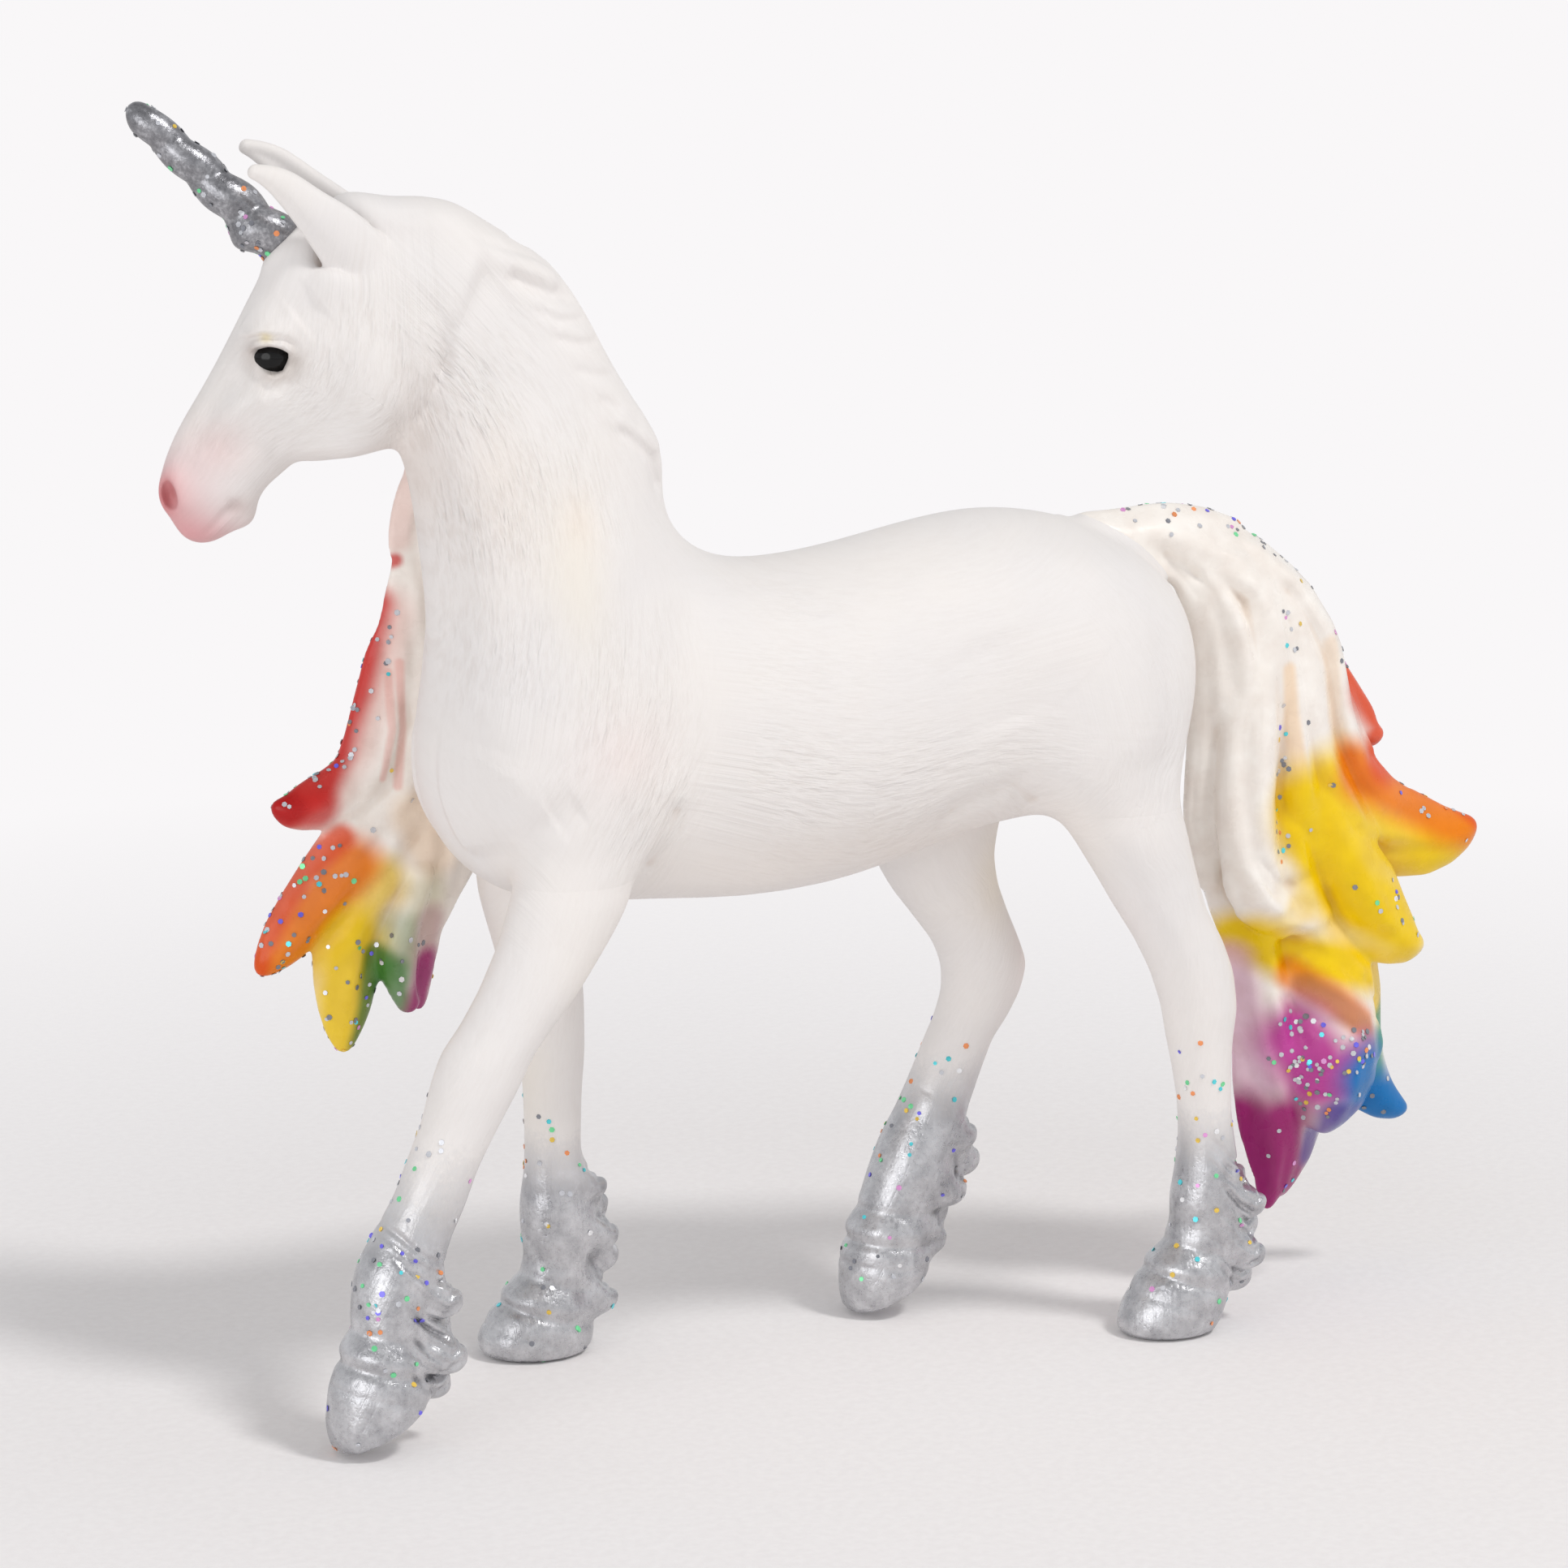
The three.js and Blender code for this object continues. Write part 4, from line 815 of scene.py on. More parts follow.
HORN_FOOT, HORN_TIP = np.array([-14.0, 0, 7.4]), np.array([-28.63, 0, 21.09])
HORN_TURNS, HORN_GROOVE_TOP = 3.97, 0.167      # of the groove, and where it first lies on top
HORN_RADII, HORN_BLUNT, HORN_SUNK = (2.5, 1.5), 0.88, 1.2   # foot and tip; where it rounds off
HORN_KNOB, KNOB_PLACE, KNOB_SPREAD = 0.6, 0.15, 0.07


def ring_faces(rows, around):
    """Triangles over closed rings of points, one ring after the other."""
    faces = []
    for k in range(rows):
        for i in range(around):
            j = (i + 1) % around
            a, b, c, d = k * around + i, (k + 1) * around + i, (k + 1) * around + j, k * around + j
            faces += [(a, b, c), (a, c, d)]
    return np.array(faces)


def horn_piece(material):
    """A blunt horn with one groove winding round it, and a knob in front at its foot."""
    levels, around = 170, 72
    axis = HORN_TIP - HORN_FOOT
    length = np.linalg.norm(axis)
    axis = axis / length
    side = np.array([0, 1.0, 0])
    front = np.cross(side, axis)
    rings = []
    for k in range(levels + 1):
        t = k / levels
        blunt = math.sqrt(max(1 - max(0, (t - HORN_BLUNT) / (1 - HORN_BLUNT)) ** 2, 0.0004))
        radius = (HORN_RADII[0] * (1 - t) + HORN_RADII[1] * t) * blunt
        knob = HORN_KNOB * math.exp(-(((t - KNOB_PLACE) / KNOB_SPREAD) ** 2))
        groove = -2 * math.pi * HORN_TURNS * (t - HORN_GROOVE_TOP)
        depth = 0.28 * (1 - 0.4 * t)
        for i in range(around):
            angle = 2 * math.pi * i / around
            bulge = math.sqrt(math.sin((angle - groove) / 2) ** 2 + 0.02)
            r = radius * (1 + depth * (bulge - 0.62)) + knob * (1 - math.cos(angle)) / 2
            rings.append(
                HORN_FOOT + axis * (t * length) + front * (r * math.cos(angle))
                + side * (r * math.sin(angle))
            )
    points = [on_head(p) for p in rings]
    points += [on_head(HORN_FOOT - axis * HORN_SUNK), on_head(HORN_TIP)]
    foot, tip = len(points) - 2, len(points) - 1
    triangles = []
    for i in range(around):
        j = (i + 1) % around
        triangles += [(foot, j, i), (tip, levels * around + i, levels * around + j)]
    faces = np.vstack([ring_faces(levels, around)[:, ::-1], triangles])
    return add_piece("horn_twisted", np.array(points), faces, "horn", material)


EYEBALL, EYEBALL_RADII = (-14.5, 3.3, -3.5), (2.2, 1.75, 1.9)


def eye_piece(side, node, material):
    centre, radii = on_head(np.multiply(EYEBALL, (1, side, 1))), EYEBALL_RADII
    points = []
    rows, around = 24, 36
    for k in range(rows + 1):
        polar = math.pi * k / rows
        for i in range(around):
            turn = 2 * math.pi * i / around
            offset = np.array([
                radii[0] * math.sin(polar) * math.cos(turn),
                radii[1] * math.sin(polar) * math.sin(turn),
                radii[2] * math.cos(polar),
            ])
            points.append(centre + on_head(offset) - POLL)
    return add_piece(node + "_ball", np.array(points), ring_faces(rows, around), node, material)


# Materials.
#
# Colours are written as red, green and blue from 0 to 255.


def rgb(red, green, blue):
    """A linear colour from 0 to 255 values."""
    out = []
    for value in (red, green, blue):
        value /= 255
        out.append(value / 12.92 if value <= 0.04045 else ((value + 0.055) / 1.055) ** 2.4)
    return tuple(out)


class Look:
    """The nodes of a material or of the world. Inputs take outputs, numbers or colours."""

    def __init__(self, owner, shader, place, **values):
        owner.use_nodes = True
        self.owner, self.tree = owner, owner.node_tree
        self.shader = self.tree.nodes[shader]
        self.place = self.add("ShaderNodeTexCoord").outputs[place]
        self.wear(**values)

    def feed(self, socket, value):
        if isinstance(value, (int, float)):
            socket.default_value = value
        elif isinstance(value, tuple):
            socket.default_value = (*value, 1)
        else:
            self.tree.links.new(value, socket)

    def wear(self, **values):
        """Sets inputs of the shader by name."""
        for key, value in values.items():
            self.feed(self.shader.inputs[key.replace("_", " ")], value)

    def add(self, kind, **values):
        """A node with its settings, and its inputs by name."""
        node = self.tree.nodes.new(kind)
        for key, value in values.items():
            if hasattr(node, key):
                setattr(node, key, value)
            else:
                self.feed(node.inputs[key.replace("_", " ")], value)
        return node

    def ramp(self, stops, source):
        """A colour ramp from (place, grey or colour) stops."""
        node = self.add("ShaderNodeValToRGB", Fac=source)
        elements = node.color_ramp.elements
        while len(elements) < len(stops):
            elements.new(0.5)
        for element, (place, colour) in zip(elements, stops):
            element.position = place
            if isinstance(colour, (int, float)):
                colour = (colour, colour, colour)
            element.color = (*colour, 1)
        return node.outputs["Color"]

    def attribute(self, name, output="Fac"):
        return self.add("ShaderNodeAttribute", attribute_name=name).outputs[output]

    def noise(self, scale, detail=2.0, roughness=0.5, at=None):
        return self.add("ShaderNodeTexNoise", Vector=at or self.place, Scale=scale, Detail=detail,
                        Roughness=roughness).outputs["Fac"]

    def scaled(self, vector, scale):
        node = self.add("ShaderNodeVectorMath", operation="MULTIPLY")
        self.feed(node.inputs[0], vector)
        node.inputs[1].default_value = scale
        return node.outputs[0]

    def maths(self, kind, a, b):
        node = self.add("ShaderNodeMath", operation=kind)
        self.feed(node.inputs[0], a)
        self.feed(node.inputs[1], b)
        return node.outputs[0]

    def plus(self, a, b):
        return self.maths("ADD", a, b)

    def times(self, a, b):
        return self.maths("MULTIPLY", a, b)

    def mixed(self, factor, a, b, blend="MIX"):
        """Mixes two colours."""
        node = self.add("ShaderNodeMix", data_type="RGBA", blend_type=blend)
        for number, value in ((0, factor), (6, a), (7, b)):
            self.feed(node.inputs[number], value)
        return node.outputs[2]

    def filtered(self, *colours):
        """Multiplies colours, as one over the other filters light."""
        out = colours[0]
        for colour in colours[1:]:
            out = self.mixed(1.0, out, colour, "MULTIPLY")
        return out

    def bumped(self, layers):
        """Chains bump nodes: (height, strength, depth in metres)."""
        normal = {}
        for height, strength, depth in layers:
            node = self.add("ShaderNodeBump", Height=height, Strength=strength, Distance=depth,
                            **normal)
            normal = {"Normal": node.outputs["Normal"]}
        self.wear(**normal)


def new_look(name, **values):
    return Look(bpy.data.materials.new(name), "Principled BSDF", "Object", **values)


COAT = rgb(239, 236, 234)
SILVER_DARK, SILVER, SILVER_PALE = rgb(166, 166, 170), rgb(194, 194, 197), rgb(218, 218, 221)


def coat_material():
    """White moulded plastic with engraved hair, tinted in places and silver at the feet."""
    look = new_look("white_coat", Specular_IOR_Level=0.24)
    silver, hollow = look.attribute("silver"), look.attribute("hollow")
    fur_depth = look.attribute("fur_depth")
    # engraved hair: each set of lines has its own strands, faded into the next set
    fine = clump = 0.0
    for group in FUR_GROUPS:
        fur = look.attribute("fur_" + group, "Vector")
        share = look.attribute("fur_share_" + group)
        hairs = look.noise(1.0, 2.0, 0.6, look.scaled(fur, (3.0, 0.45, 1)))
        tufts = look.noise(1.0, 1.0, 0.5, look.scaled(fur, (1.0, 0.26, 1)))
        fine = look.plus(fine, look.times(hairs, share))
        clump = look.plus(clump, look.times(tufts, share))
    # colour, with painted shade darkening the creases and the grooves of the engraved hair
    cloud = look.ramp([(0.35, rgb(250, 249, 249)), (0.65, rgb(254, 252, 250))], look.noise(55.0))
    crease_shade = look.ramp([(0.0, 1.0), (0.45, 1.0), (1.0, rgb(232, 221, 213))], hollow)
    hair_groove_shade = look.ramp([(0.36, rgb(240, 236, 233)), (0.56, 1.0)], fine)
    coat = look.filtered(look.attribute("tint", "Color"), cloud, crease_shade)
    coat = look.mixed(look.times(fur_depth, 0.6), coat, look.filtered(coat, hair_groove_shade))
    # silver paint: a speckled edge, pale and dark blotches, and painted shade darkening its hollows
    grain, blotch = look.noise(1900.0, 3.0, 0.7), look.noise(420.0, 2.0, 0.55)
    edge = look.plus(silver, look.times(look.plus(grain, -0.5), 0.5))
    edge = look.plus(edge, look.times(look.plus(blotch, -0.5), 0.3))
    cover = look.ramp([(0.15, 0.0), (0.85, 1.0)], edge)
    metal = look.ramp([(0.3, SILVER_DARK), (0.5, SILVER), (0.7, SILVER_PALE)],
                      look.plus(look.times(grain, 0.4), look.times(blotch, 0.6)))
    metal = look.filtered(metal, look.ramp([(0.3, 1.0), (1.0, rgb(140, 140, 144))], hollow))
    rough = look.ramp([(0.35, 0.24), (0.65, 0.4)], grain)
    look.wear(Base_Color=look.mixed(cover, coat, metal), Metallic=look.times(cover, 0.8),
              Roughness=look.mixed(cover, (0.55, 0.55, 0.55), rough))
    look.bumped([
        (fine, fur_depth, 0.00036),
        (clump, fur_depth, 0.0006),
        (grain, look.plus(look.times(cover, 0.5), 0.08), 0.00012),
        (blotch, look.times(cover, 0.3), 0.0003),
    ])
    return look.owner


def hair_material():
    """Glossy sprayed colours on white moulded hair."""
    look = new_look("sprayed_hair", Specular_IOR_Level=0.28, Coat_Weight=0.06, Coat_Roughness=0.08)
    cloud = look.ramp([(0.3, rgb(244, 240, 238)), (0.7, 1.0)], look.noise(320.0, 3.0))
    # painted shade: the colour darkens in the creases between the strands
    crease_shade = look.ramp([(0.3, 1.0), (1.0, rgb(224, 205, 186))], look.attribute("hollow"))
    smear = look.noise(500.0)
    look.wear(Base_Color=look.filtered(look.attribute("tint", "Color"), cloud, crease_shade),
              Roughness=look.ramp([(0.3, 0.22), (0.7, 0.38)], smear))
    combed = look.noise(900.0, at=look.scaled(look.place, (1, 1, 0.25)))
    look.bumped([(combed, 0.25, 0.0002), (smear, 0.15, 0.0002)])
    return look.owner


def horn_material():
    look = new_look("silver_paint", Metallic=0.8)
    grain, blotch = look.noise(2200.0, 3.0, 0.7), look.noise(420.0, 3.0, 0.6)
    metal = look.ramp(
        [(0.32, rgb(112, 112, 116)), (0.5, rgb(148, 148, 152)), (0.68, rgb(200, 200, 204))],
        look.plus(look.times(grain, 0.5), look.times(blotch, 0.5)),
    )
    look.wear(Base_Color=metal, Roughness=look.ramp([(0.35, 0.24), (0.65, 0.42)], blotch))
    look.bumped([(grain, 0.5, 0.0001), (blotch, 0.3, 0.0002)])
    return look.owner


def eye_material():
    look = new_look("black_gloss", Specular_IOR_Level=0.3)
    cloud = look.noise(700.0)
    look.wear(Base_Color=look.ramp([(0.3, rgb(3, 3, 3)), (0.7, rgb(9, 8, 8))], cloud),
              Roughness=look.ramp([(0.3, 0.06), (0.7, 0.12)], cloud))
    return look.owner


def glitter_material():
    """Small bright foil flecks, each of its own colour."""
    look = new_look("glitter_foil", Metallic=0.25)
    shine = look.noise(1800.0)
    pale = look.ramp([(0.3, 0.8), (0.7, 1.0)], shine)
    look.wear(Base_Color=look.filtered(look.attribute("tint", "Color"), pale),
              Roughness=look.ramp([(0.3, 0.1), (0.7, 0.25)], shine))
    return look.owner


def paper_material():
    """Pale studio paper that fades, away from the figurine, into a painted white glow seen only from
    the camera.
    """
    look = new_look("paper", Roughness=0.85)
    length = look.add("ShaderNodeVectorMath", operation="LENGTH")
    look.feed(length.inputs[0], look.place)
    fade = look.ramp([(0.085, 0.0), (0.13, 0.28), (0.17, 0.5), (0.22, 0.74), (0.29, 1.0)],
                     length.outputs["Value"])
    grain = look.noise(900.0, 3.0, 0.6)
    look.wear(Base_Color=look.ramp([(0.35, (0.9, 0.872, 0.868)), (0.65, (0.93, 0.905, 0.9))],
                                   grain))
    look.bumped([(grain, 0.25, 0.0003)])
    seen = look.times(fade, look.add("ShaderNodeLightPath").outputs["Is Camera Ray"])
    glow = look.add("ShaderNodeEmission", Color=(0.947, 0.93, 0.939), Strength=1.0)
    mix = look.add("ShaderNodeMixShader", Fac=seen)
    look.feed(mix.inputs[1], look.shader.outputs[0])
    look.feed(mix.inputs[2], glow.outputs[0])
    look.feed(look.tree.nodes["Material Output"].inputs["Surface"], mix.outputs[0])
    return look.owner


# Sprayed paint, and one brown spray of painted shade on the tail: lines of (x, z) seen from
# the side, the radius of the spray, how much of it covers, and its colour.

RED, DEEP_RED, PALE_RED = rgb(208, 34, 28), rgb(182, 18, 20), rgb(232, 158, 146)
ORANGE, DEEP_ORANGE, PEACH = rgb(242, 128, 0), rgb(228, 74, 0), rgb(248, 206, 150)
YELLOW, GREEN, TEAL = rgb(246, 208, 0), rgb(60, 122, 46), rgb(40, 146, 120)
BLUE, PURPLE, MAGENTA = rgb(0, 116, 188), rgb(92, 66, 152), rgb(160, 36, 112)
PINK, PALE_PINK, SHADE_BROWN = rgb(198, 72, 160), rgb(226, 178, 206), rgb(150, 84, 40)
CREAM, OLIVE = rgb(250, 245, 238), rgb(206, 204, 160)

MANE_SPRAYS = [
    ([(-38, 96), (-38, 88)], 1.6, 0.3, PALE_RED),
    ([(-38.8, 85.2), (-38, 85.6)], 0.75, 0.85, RED),
    ([(-37.6, 75), (-37.2, 68), (-37.7, 62)], 0.45, 0.5, PALE_RED),
    ([(-38.6, 74), (-38.4, 68), (-39.4, 63)], 0.4, 0.45, PALE_RED),
    ([(-39.6, 80), (-41.2, 72), (-43.2, 66.6), (-46, 62.6), (-50, 60.6)], 3.0, 0.45, PALE_RED),
    ([(-40, 81), (-42, 72), (-44, 66), (-46.4, 62.4), (-50, 60.6)], 1.9, 0.95, RED),
    ([(-46.4, 60.2), (-50.4, 60.2)], 2.2, 0.85, RED),
    ([(-49.6, 60.6), (-51.4, 60.4)], 1.8, 0.9, DEEP_RED),
    ([(-36, 59), (-33.4, 54)], 2.4, 0.35, PEACH),
    ([(-39.6, 52), (-45, 47), (-50, 42.6)], 2.8, 0.8, YELLOW),
    ([(-42.6, 54), (-46.8, 49.4), (-51, 44)], 3.0, 0.95, ORANGE),
    ([(-43.6, 57), (-47.9, 53.4), (-50.8, 49.2), (-52.8, 45.8), (-53, 43)], 1.35, 0.85, DEEP_ORANGE),
    ([(-42.4, 46), (-43.4, 40), (-43.2, 34)], 3.4, 0.95, YELLOW),
    ([(-40, 44), (-40.6, 39), (-41.5, 34.8)], 1.4, 0.85, GREEN),
    ([(-34.6, 50), (-35.6, 45)], 2.6, 0.5, OLIVE),
    ([(-37.6, 46.6), (-38, 43)], 2.2, 0.4, GREEN),
    ([(-34, 47), (-34.6, 43)], 2.0, 0.4, MAGENTA),
    ([(-38.6, 42.6), (-38.6, 40.6), (-37.6, 38)], 1.7, 0.85, GREEN),
    ([(-35.6, 36.8), (-35.2, 40), (-34.2, 42.6)], 1.7, 0.95, MAGENTA),
]
TAIL_SPRAYS = [
    ([(56, 70), (56.6, 63), (57.4, 57)], 0.8, 0.5, PEACH),
    ([(62, 72), (62.6, 64), (64, 60)], 1.0, 0.3, PEACH),
    ([(57.6, 55), (60, 50.4), (64, 45), (72, 40.6)], 4.6, 1.0, YELLOW),
    ([(62, 57), (68, 50.6), (76, 47.6)], 4.2, 0.95, YELLOW),
    ([(54, 42.4), (58, 44)], 1.6, 0.45, YELLOW),
    ([(50.6, 43), (55, 47.4)], 2.2, 0.7, CREAM),
    ([(76, 48), (82, 48.4)], 3.0, 0.95, YELLOW),
    ([(65.4, 58), (70, 56), (78, 51.6), (82.4, 50)], 3.2, 0.95, ORANGE),
    ([(72, 57.6), (80.4, 53), (83.4, 50)], 1.4, 0.75, DEEP_ORANGE),
    ([(67.6, 66.5), (72.6, 61.6), (70, 58.6)], 2.8, 0.95, DEEP_ORANGE),
    ([(52, 41), (57, 38.6), (62, 37.6), (67.4, 36)], 2.7, 1.0, YELLOW),
    ([(57.4, 36.6), (61.4, 34), (65.6, 30.6)], 1.7, 0.75, ORANGE),
    ([(71.5, 36), (70.8, 31)], 2.4, 0.85, YELLOW),
    # painted shade: soft brown where the lower locks part
    ([(59.4, 35), (63.6, 32), (67, 28.8)], 1.3, 0.45, SHADE_BROWN),
    ([(51.2, 38), (53, 30), (54.6, 24.6)], 2.2, 0.7, PALE_PINK),
    ([(51, 33), (52, 24.4)], 0.7, 0.5, PINK),
    ([(58, 29.6), (60.8, 24.8), (64.4, 25.6)], 3.7, 1.0, PINK),
    ([(53, 20), (55, 13), (57.4, 9.4)], 3.4, 1.0, MAGENTA),
    ([(57.6, 19.6), (59.4, 13)], 3.2, 1.0, MAGENTA),
    ([(62.6, 20.6), (62.4, 15)], 1.5, 0.85, PURPLE),
    ([(69.4, 28), (70, 23.6)], 1.8, 0.9, TEAL),
    ([(66, 25), (67.4, 20.4), (74.4, 19.6)], 3.6, 1.0, BLUE),
    ([(63.4, 20.4), (65.6, 20)], 1.5, 0.6, PURPLE),
    ([(70.4, 28.6), (71.8, 30)], 1.4, 0.8, TEAL),
]


def line_distance(points, line):
    """Distance in side view from each point to a line of (x, z)."""
    return np.min([
        to_segment(a, b, points[:, 0], points[:, 2])[1] for a, b in zip(line, line[1:])
    ], axis=0)


def tinge(colours, other, share):
    """Moves the colours of points towards another, each by its share."""
    colours += (np.array(other, np.float32) - colours) * share[:, None].astype(np.float32)


def sprayed(points, base, sprays):
    """Colour of each point after every spray in turn."""
    colour = np.tile(np.array(base, np.float32), (len(points), 1))
    for line, radius, cover, paint_colour in sprays:
        far = line_distance(points, line)
        share = cover * (1 - smoothstep(radius * 0.45, radius * 1.55, far))
        tinge(colour, paint_colour, share)
    return colour


def hollows(block, soft, points, reach):
    """0 on rises and open skin, towards 1 in creases, for painted shade that darkens the colour there.
    """
    wide = block.like(blurred(block.value, soft / block.pitch))
    return np.clip(-wide.sample(points) / reach, 0, 1)


def flat_mask(piece, name, values):
    layer = piece.data.attributes.new(name, "FLOAT", "POINT")
    layer.data.foreach_set("value", np.asarray(values, np.float32))


# The engraved hair runs along these (x, z) lines on both sides, in four sets: neighbours that
# run different ways are in different sets, so that they can fade into each other.
FUR_GROUPS = "abcd"
FUR_LINES = [
    ("b", [(-40, 112), (-34, 104), (-31, 94), (-31, 84), (-33, 74)]),
    ("c", [(-32, 112), (-26, 104), (-24, 94), (-24, 84), (-26, 72), (-30, 62)]),
    ("d", [(-24, 108), (-18, 98), (-14, 90), (-8, 84)]),
    ("a", [(-40, 103), (-38.5, 94), (-37.5, 84), (-38.5, 74), (-39, 66), (-34, 58)]),
    ("b", [(-18, 84), (-18, 74), (-22, 64), (-26, 56), (-29, 46), (-36, 32), (-43, 18)]),
    ("c", [(-10, 84), (4, 82), (18, 83), (28, 87)]),
    ("a", [(-10, 76), (4, 74), (16, 75), (22, 76)]),
    ("d", [(-10, 68), (4, 65.6), (18, 67), (28, 66)]),
    ("c", [(-8, 60), (4, 57), (16, 60), (24, 56)]),
    ("b", [(34, 84), (40, 76), (42, 66), (38, 58), (42, 50), (44, 36), (43, 20)]),
    ("a", [(29, 68), (29.6, 62), (24, 54), (30, 44), (22, 26)]),
    ("d", [(-20, 50), (-22, 36), (-22, 18)]),
    ("b", [(-53, 115), (-58, 104), (-62, 96)]),
    ("c", [(-46, 114), (-48, 104), (-54, 98), (-58, 93)]),
    ("d", [(-42, 112), (-43, 103), (-49, 101)]),
]
# How deep the engraving is: (x, z), the reach and the depth there.
FUR_SPOTS = [
    (-42, 113, 7, 0.8), (-37, 104, 8, 1.0), (-36, 92, 8, 1.0), (-29, 96, 9, 0.7),
    (-36, 80, 8, 0.7), (-25, 74, 11, 0.6), (-20, 64, 9, 0.6), (-6, 64, 12, 0.5),
    (8, 60, 12, 0.5), (20, 62, 9, 0.4), (-4, 78, 12, 0.3), (36, 66, 14, 0.3), (-50, 106, 8, 0.6),
    (-59, 100, 6, 0.4), (-30, 112, 8, 0.3),
]
FUR_LEAST = 0.16
# The heights where the silver of a leg begins to fade in, and where it covers.
SILVER_FROM = {
    "leg_front_left": (33, 19), "leg_front_right": (26, 17), "leg_rear_left": (26.5, 17),
    "leg_rear_right": (29.5, 20),
}


def fur_attributes(piece, points):
    """For each set of lines: where a point lies across and along the nearest, and its share."""
    best = {group: np.full(len(points), 1e3) for group in FUR_GROUPS}
    fur = {group: np.zeros((len(points), 3), np.float32) for group in FUR_GROUPS}
    for index, (group, line) in enumerate(FUR_LINES):
        run = 0.0
        line = curve(line, 3)
        for (ax, az), (bx, bz) in zip(line[:-1], line[1:]):
            dx, dz = bx - ax, bz - az
            length = math.hypot(dx, dz)
            t, far = to_segment((ax, az), (bx, bz), points[:, 0], points[:, 2])
            side = ((points[:, 0] - ax) * dz - (points[:, 2] - az) * dx) / length
            nearer = np.flatnonzero(far < best[group])
            best[group][nearer] = far[nearer]
            fur[group][nearer, 0] = side[nearer] + index * 37
            fur[group][nearer, 1] = run + t[nearer] * length
            fur[group][nearer, 2] = index * 5.3
            run += length
    nearest = np.min([best[group] for group in FUR_GROUPS], axis=0)
    shares = {group: np.maximum(0, 1 - (best[group] - nearest) / 3) for group in FUR_GROUPS}
    total = sum(shares.values())
    for group in FUR_GROUPS:
        layer = piece.data.attributes.new("fur_" + group, "FLOAT_VECTOR", "POINT")
        layer.data.foreach_set("vector", fur[group].ravel())
        flat_mask(piece, "fur_share_" + group, shares[group] / total)
    depth = np.full(len(points), FUR_LEAST)
    for x, z, reach, height in FUR_SPOTS:
        far = np.hypot(points[:, 0] - x, points[:, 2] - z)
        depth = np.maximum(depth, height * np.exp(-((far / reach) ** 2)))
    flat_mask(piece, "fur_depth", depth)


# Tints of the coat, some of them painted shade: where, how far and what colour; on the head in its own
# frame.
HEAD_TINTS = [
    ((-25.6, 3.2, -18.4), (4.4, 5, 5.2), 0.55, rgb(232, 150, 154)),
    ((-23, 2, -21.6), (4.6, 5, 2.6), 0.6, rgb(214, 120, 130)),
    ((-26.4, 3.8, -17.2), (2.0, 2.4, 2.8), 0.6, rgb(224, 120, 126)),
    ((-25.2, 3.4, -17.2), (0.8, 1.8, 1.6), 0.8, rgb(186, 84, 88)),
    ((-20.5, 4.4, -12.6), (3.4, 3, 2.6), 0.28, rgb(236, 176, 172)),
    # painted shade in the corner of the mouth
    ((-18.4, 3.4, -18.6), (1.2, 2, 1.0), 0.4, rgb(160, 120, 110)),
    # painted shade at the front and back corners of the eye, and below it
    ((-16.6, 5.6, -2.9), (1.4, 2.4, 1.5), 0.5, rgb(150, 132, 122)),
    ((-12.2, 5.8, -3.6), (1.3, 2.4, 1.5), 0.45, rgb(160, 144, 132)),
    ((-14.4, 5.6, -4.9), (1.8, 2.4, 0.9), 0.35, rgb(176, 160, 148)),
    ((-15.0, 5.4, -1.2), (0.6, 2, 0.5), 0.35, rgb(236, 216, 110)),
]
BODY_TINTS = [
    ((-34, 96), (4, 8), 0.25, rgb(238, 224, 212)),
    ((-27, 86), (3, 7), 0.18, rgb(250, 236, 196)),
    ((-26, 92), (2, 3), 0.15, rgb(252, 226, 196)),
    # painted shade in the furrow under the throat
    ((-40, 98), (2.4, 8), 0.4, rgb(222, 208, 198)),
    # painted shade along the underside of the belly
    ((8, 56), (22, 4), 0.22, rgb(240, 224, 208)),
    ((-24, 69), (5, 4), 0.18, rgb(250, 222, 220)),
    ((28, 48), (3, 5), 0.25, rgb(246, 232, 196)),
    ((-26, 30), (2.5, 6), 0.22, rgb(250, 238, 200)),
    ((33, 40), (2.5, 6), 0.25, rgb(246, 218, 214)),
    ((-25, 44), (4, 5), 0.14, rgb(250, 236, 200)),
]


def coat_attributes(piece, name, points, block):
    tint = np.tile(np.array(COAT, np.float32), (len(points), 1))
    for (x, z), (rx, rz), cover, colour in BODY_TINTS:
        share = cover * np.exp(-((points[:, 0] - x) / rx) ** 2 - ((points[:, 2] - z) / rz) ** 2)
        tinge(tint, colour, share)
    if name == "head" or name.startswith("ear"):
        u, v, w = head_frame(*points.T)
        for (x, y, z), (rx, ry, rz), cover, colour in HEAD_TINTS:
            far = ((u - x) / rx) ** 2 + ((np.abs(v) - y) / ry) ** 2 + ((w - z) / rz) ** 2
            tinge(tint, colour, cover * np.exp(-far))
    paint(piece, "tint", tint)
    silver = np.zeros(len(points))
    if name in SILVER_FROM:
        top, full = SILVER_FROM[name]
        silver = 1 - np.clip((points[:, 2] - full) / (top - full), 0, 1)
    flat_mask(piece, "silver", silver)
    flat_mask(piece, "hollow", hollows(block, 1.8, points, 0.35))
    fur_attributes(piece, points)


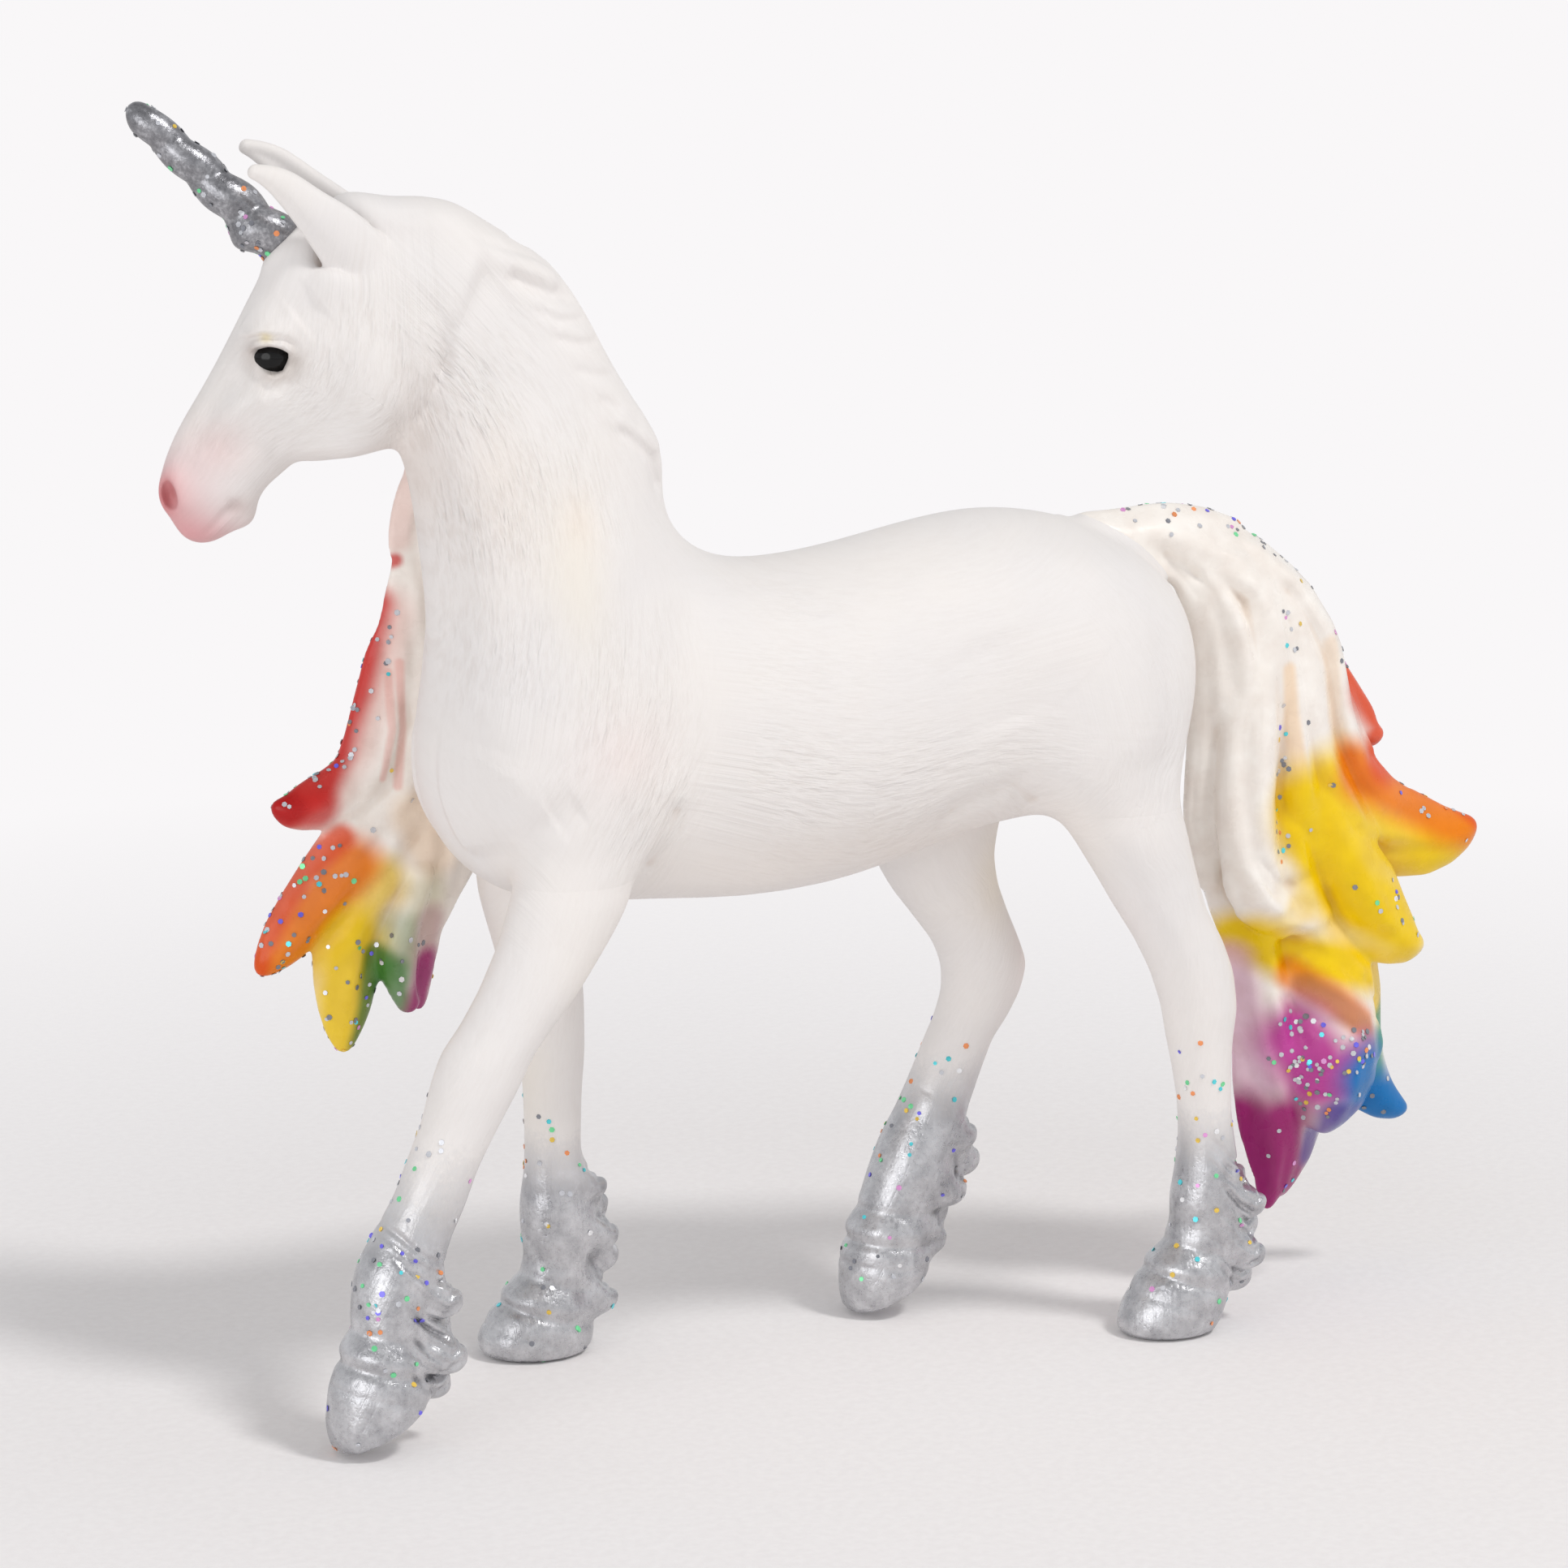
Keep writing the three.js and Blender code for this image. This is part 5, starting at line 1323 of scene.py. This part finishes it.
# Glitter: the colours of the foil, each with its share.
PALE_FOIL = [(0.6, rgb(214, 216, 222)), (0.4, rgb(140, 142, 150))]
BRIGHT_FOIL = [
    (0.24, rgb(96, 226, 236)), (0.2, rgb(124, 116, 246)), (0.2, rgb(130, 238, 170)),
    (0.18, rgb(252, 214, 96)), (0.14, rgb(252, 160, 104)), (0.1, rgb(240, 168, 228)),
    (0.14, rgb(250, 250, 252)),
]
# How much of it is bright foil, on these pieces and on the others.
BRIGHT_SHARE, BRIGHT_ELSEWHERE = {"mane_fall": 0.26, "tail": 0.34, "horn": 0.36}, 0.66
FLECK_SIZES, FLECK_LIFT, FLECK_HALF = (0.22, 0.33), 0.05, 0.03      # half thickness last
# Where it lies: (x, z) lines, the reach about them and how many flecks.
GLITTER = {
    "horn": [([(-70, 119), (-52, 112)], 40, 52), ([(-55, 118.5), (-53.4, 117.6)], 2.4, 30)],
    "leg_front_left": [([(-44, 30), (-50, 18)], 3.4, 36), ([(-50, 18), (-52, 4)], 6.5, 54)],
    "leg_front_right": [([(-23, 26), (-24, 16)], 4, 26), ([(-22, 16), (-24, 4)], 7, 36)],
    "leg_rear_left": [([(43, 30), (44, 18)], 4, 34), ([(44, 18), (42, 4)], 7, 40)],
    "leg_rear_right": [([(22, 30), (18, 20)], 4, 24), ([(18, 20), (15, 6)], 7, 34)],
    "mane_fall": [
        ([(-39, 79), (-42, 70), (-45, 63), (-50, 61)], 2.0, 56),
        ([(-45, 54), (-52, 44)], 3.0, 76), ([(-42, 44), (-43, 34)], 3.0, 50),
        ([(-36, 44), (-36, 38)], 2.0, 14), ([(-38, 60), (-40, 50)], 3.0, 12),
    ],
    "tail": [
        ([(40, 88), (50, 87), (58, 83), (64, 77), (67, 69)], 2.0, 84),
        ([(56.4, 76), (56, 66), (55.6, 56), (55, 49)], 1.0, 60),
        ([(76, 54), (82, 50)], 2.6, 20), ([(66, 46), (73, 41)], 2.4, 26),
        ([(58, 29), (61, 24), (64, 27)], 2.8, 170), ([(56, 18), (58, 12)], 3.0, 12),
        ([(68, 20), (75, 19)], 2.4, 10), ([(60, 60), (64, 45)], 5.0, 14),
    ],
}


def glitter_piece(name, points, normals, lines, material):
    """Thin six-sided foil flecks lying on a piece, each tilted its own way."""
    chance = np.random.default_rng(len(name) * 11 + len(lines))
    corners, colours = [], []
    turn = np.arange(6) * math.pi / 3
    for line, reach, count in lines:
        far = line_distance(points, line)
        near = np.flatnonzero(far < reach * 1.6)
        if len(near) == 0:
            continue
        weight = np.exp(-((far[near] / reach) ** 2))
        for k in chance.choice(near, count, p=weight / weight.sum()):
            out = normals[k] + chance.normal(0, 0.16, 3)
            out /= np.linalg.norm(out)
            flat = np.cross(out, chance.normal(0, 1, 3))
            flat /= np.linalg.norm(flat)
            other = np.cross(out, flat)
            size = chance.uniform(*FLECK_SIZES)
            ring = np.outer(np.cos(turn), flat * size) + np.outer(np.sin(turn), other * size)
            middle = points[k] + normals[k] * FLECK_LIFT
            corners += [middle + out * FLECK_HALF + ring, middle - out * FLECK_HALF + ring]
            bright = chance.uniform() < BRIGHT_SHARE.get(name, BRIGHT_ELSEWHERE)
            foil = BRIGHT_FOIL if bright else PALE_FOIL
            shares = np.cumsum([share for share, _ in foil])
            colours += [foil[int(np.searchsorted(shares, chance.uniform(0, shares[-1])))][1]] * 12
    faces = []
    for base in range(0, len(corners) * 6, 12):
        for i in range(1, 5):
            faces += [(base, base + i, base + i + 1), (base + 6, base + 7 + i, base + 6 + i)]
        for i in range(6):
            j = (i + 1) % 6
            faces += [(base + i, base + 6 + i, base + 6 + j), (base + i, base + 6 + j, base + j)]
    piece = add_piece("glitter_on_" + name, np.vstack(corners), np.array(faces), None, material)
    piece.data.polygons.foreach_set("use_smooth", np.zeros(len(piece.data.polygons), bool))
    paint(piece, "tint", np.array(colours))


def surface_of(piece):
    """Points and normals of a piece in the sculpting frame."""
    count = len(piece.data.vertices)
    points, normals = np.empty(count * 3, np.float32), np.empty(count * 3, np.float32)
    piece.data.vertices.foreach_get("co", points)
    piece.data.vertices.foreach_get("normal", normals)
    return points.reshape(-1, 3) / MM - SHIFT, normals.reshape(-1, 3)


# Pieces.

skin_block, skin_shares = skin()
draw(skin_block, BODY_STROKES, 3)
draw(skin_block, CREST_STROKES, 0.6)
draw(skin_block, JAW_STROKES, 2, head=True, sides=(-1,))
draw(skin_block, HEAD_STROKES, 2, head=True)
for (x, y, z), radii, height in HEAD_FORMS:
    for side in (-1, 1) if y else (1,):
        swell(skin_block, on_head((x, side * y, z)), radii, height, HEAD_TURN)
tail_hair = tail_block()
pieces = skin_pieces(skin_block, skin_shares, tail_hair, coat_material())
hair = hair_material()
pieces["mane_fall"] = mane_piece(hair)
pieces["tail"] = tail_piece(tail_hair, skin_block, hair)
pieces["horn"] = horn_piece(horn_material())
black = eye_material()
for side, name in ((-1, "eye_left"), (1, "eye_right")):
    pieces[name] = eye_piece(side, name, black)
foil = glitter_material()
for name, lines in GLITTER.items():
    points, normals = surface_of(pieces[name])
    glitter_piece(name, points, normals, lines, foil)

# Floor, light and camera.

bpy.ops.mesh.primitive_plane_add(size=12)
floor = bpy.context.object
floor.name = "floor"
floor.data.materials.append(paper_material())


def lamp(name, place, aim, size, power, colour=(1, 1, 1)):
    data = bpy.data.lights.new(name, "AREA")
    data.shape = "DISK"
    data.size = size
    data.energy = power
    data.color = colour
    light = bpy.data.objects.new(name, data)
    light.location = place
    light.rotation_euler = (Vector(aim) - Vector(place)).to_track_quat("-Z", "Y").to_euler()
    scene.collection.objects.link(light)


lamp("key", (0.385, -0.53, 1.0), (0, 0, 0.05), 0.2, 5.0, (1, 0.99, 0.98))
lamp("left_fill", (-1.2, -0.72, 0.3), (0, 0, 0.06), 1.0, 4.9)

world = bpy.data.worlds.new("studio")
scene.world = world
# the room is brighter near the horizon than overhead
sky = Look(world, "Background", "Generated", Strength=1.0)
height = sky.add("ShaderNodeSeparateXYZ", Vector=sky.place).outputs["Z"]
sky.wear(Color=sky.ramp([(0.0, (0.86, 0.865, 0.88)), (1.0, (0.385, 0.387, 0.395))], height))

AZIMUTH, ELEVATION = math.radians(-24), math.radians(12)
AIM = (np.array([-1.11, -2.5, 62]) + SHIFT) * MM
FAR = 0.6                                               # metres from what it looks at
SENSOR, FOCAL_PIXELS, PHOTO_PIXELS = 36, 7200, 1932     # the width in mm and in pixels
back = np.array([
    math.sin(AZIMUTH) * math.cos(ELEVATION), -math.cos(AZIMUTH) * math.cos(ELEVATION),
    math.sin(ELEVATION),
])
camera_data = bpy.data.cameras.new("camera")
camera_data.sensor_width = SENSOR
camera_data.lens = FOCAL_PIXELS / PHOTO_PIXELS * SENSOR
camera_data.clip_start = 0.05
camera = bpy.data.objects.new("camera", camera_data)
camera.location = Vector(AIM + back * FAR)
camera.rotation_euler = Vector(-back).to_track_quat("-Z", "Y").to_euler()
scene.collection.objects.link(camera)
scene.camera = camera
scene.view_settings.view_transform = "Standard"
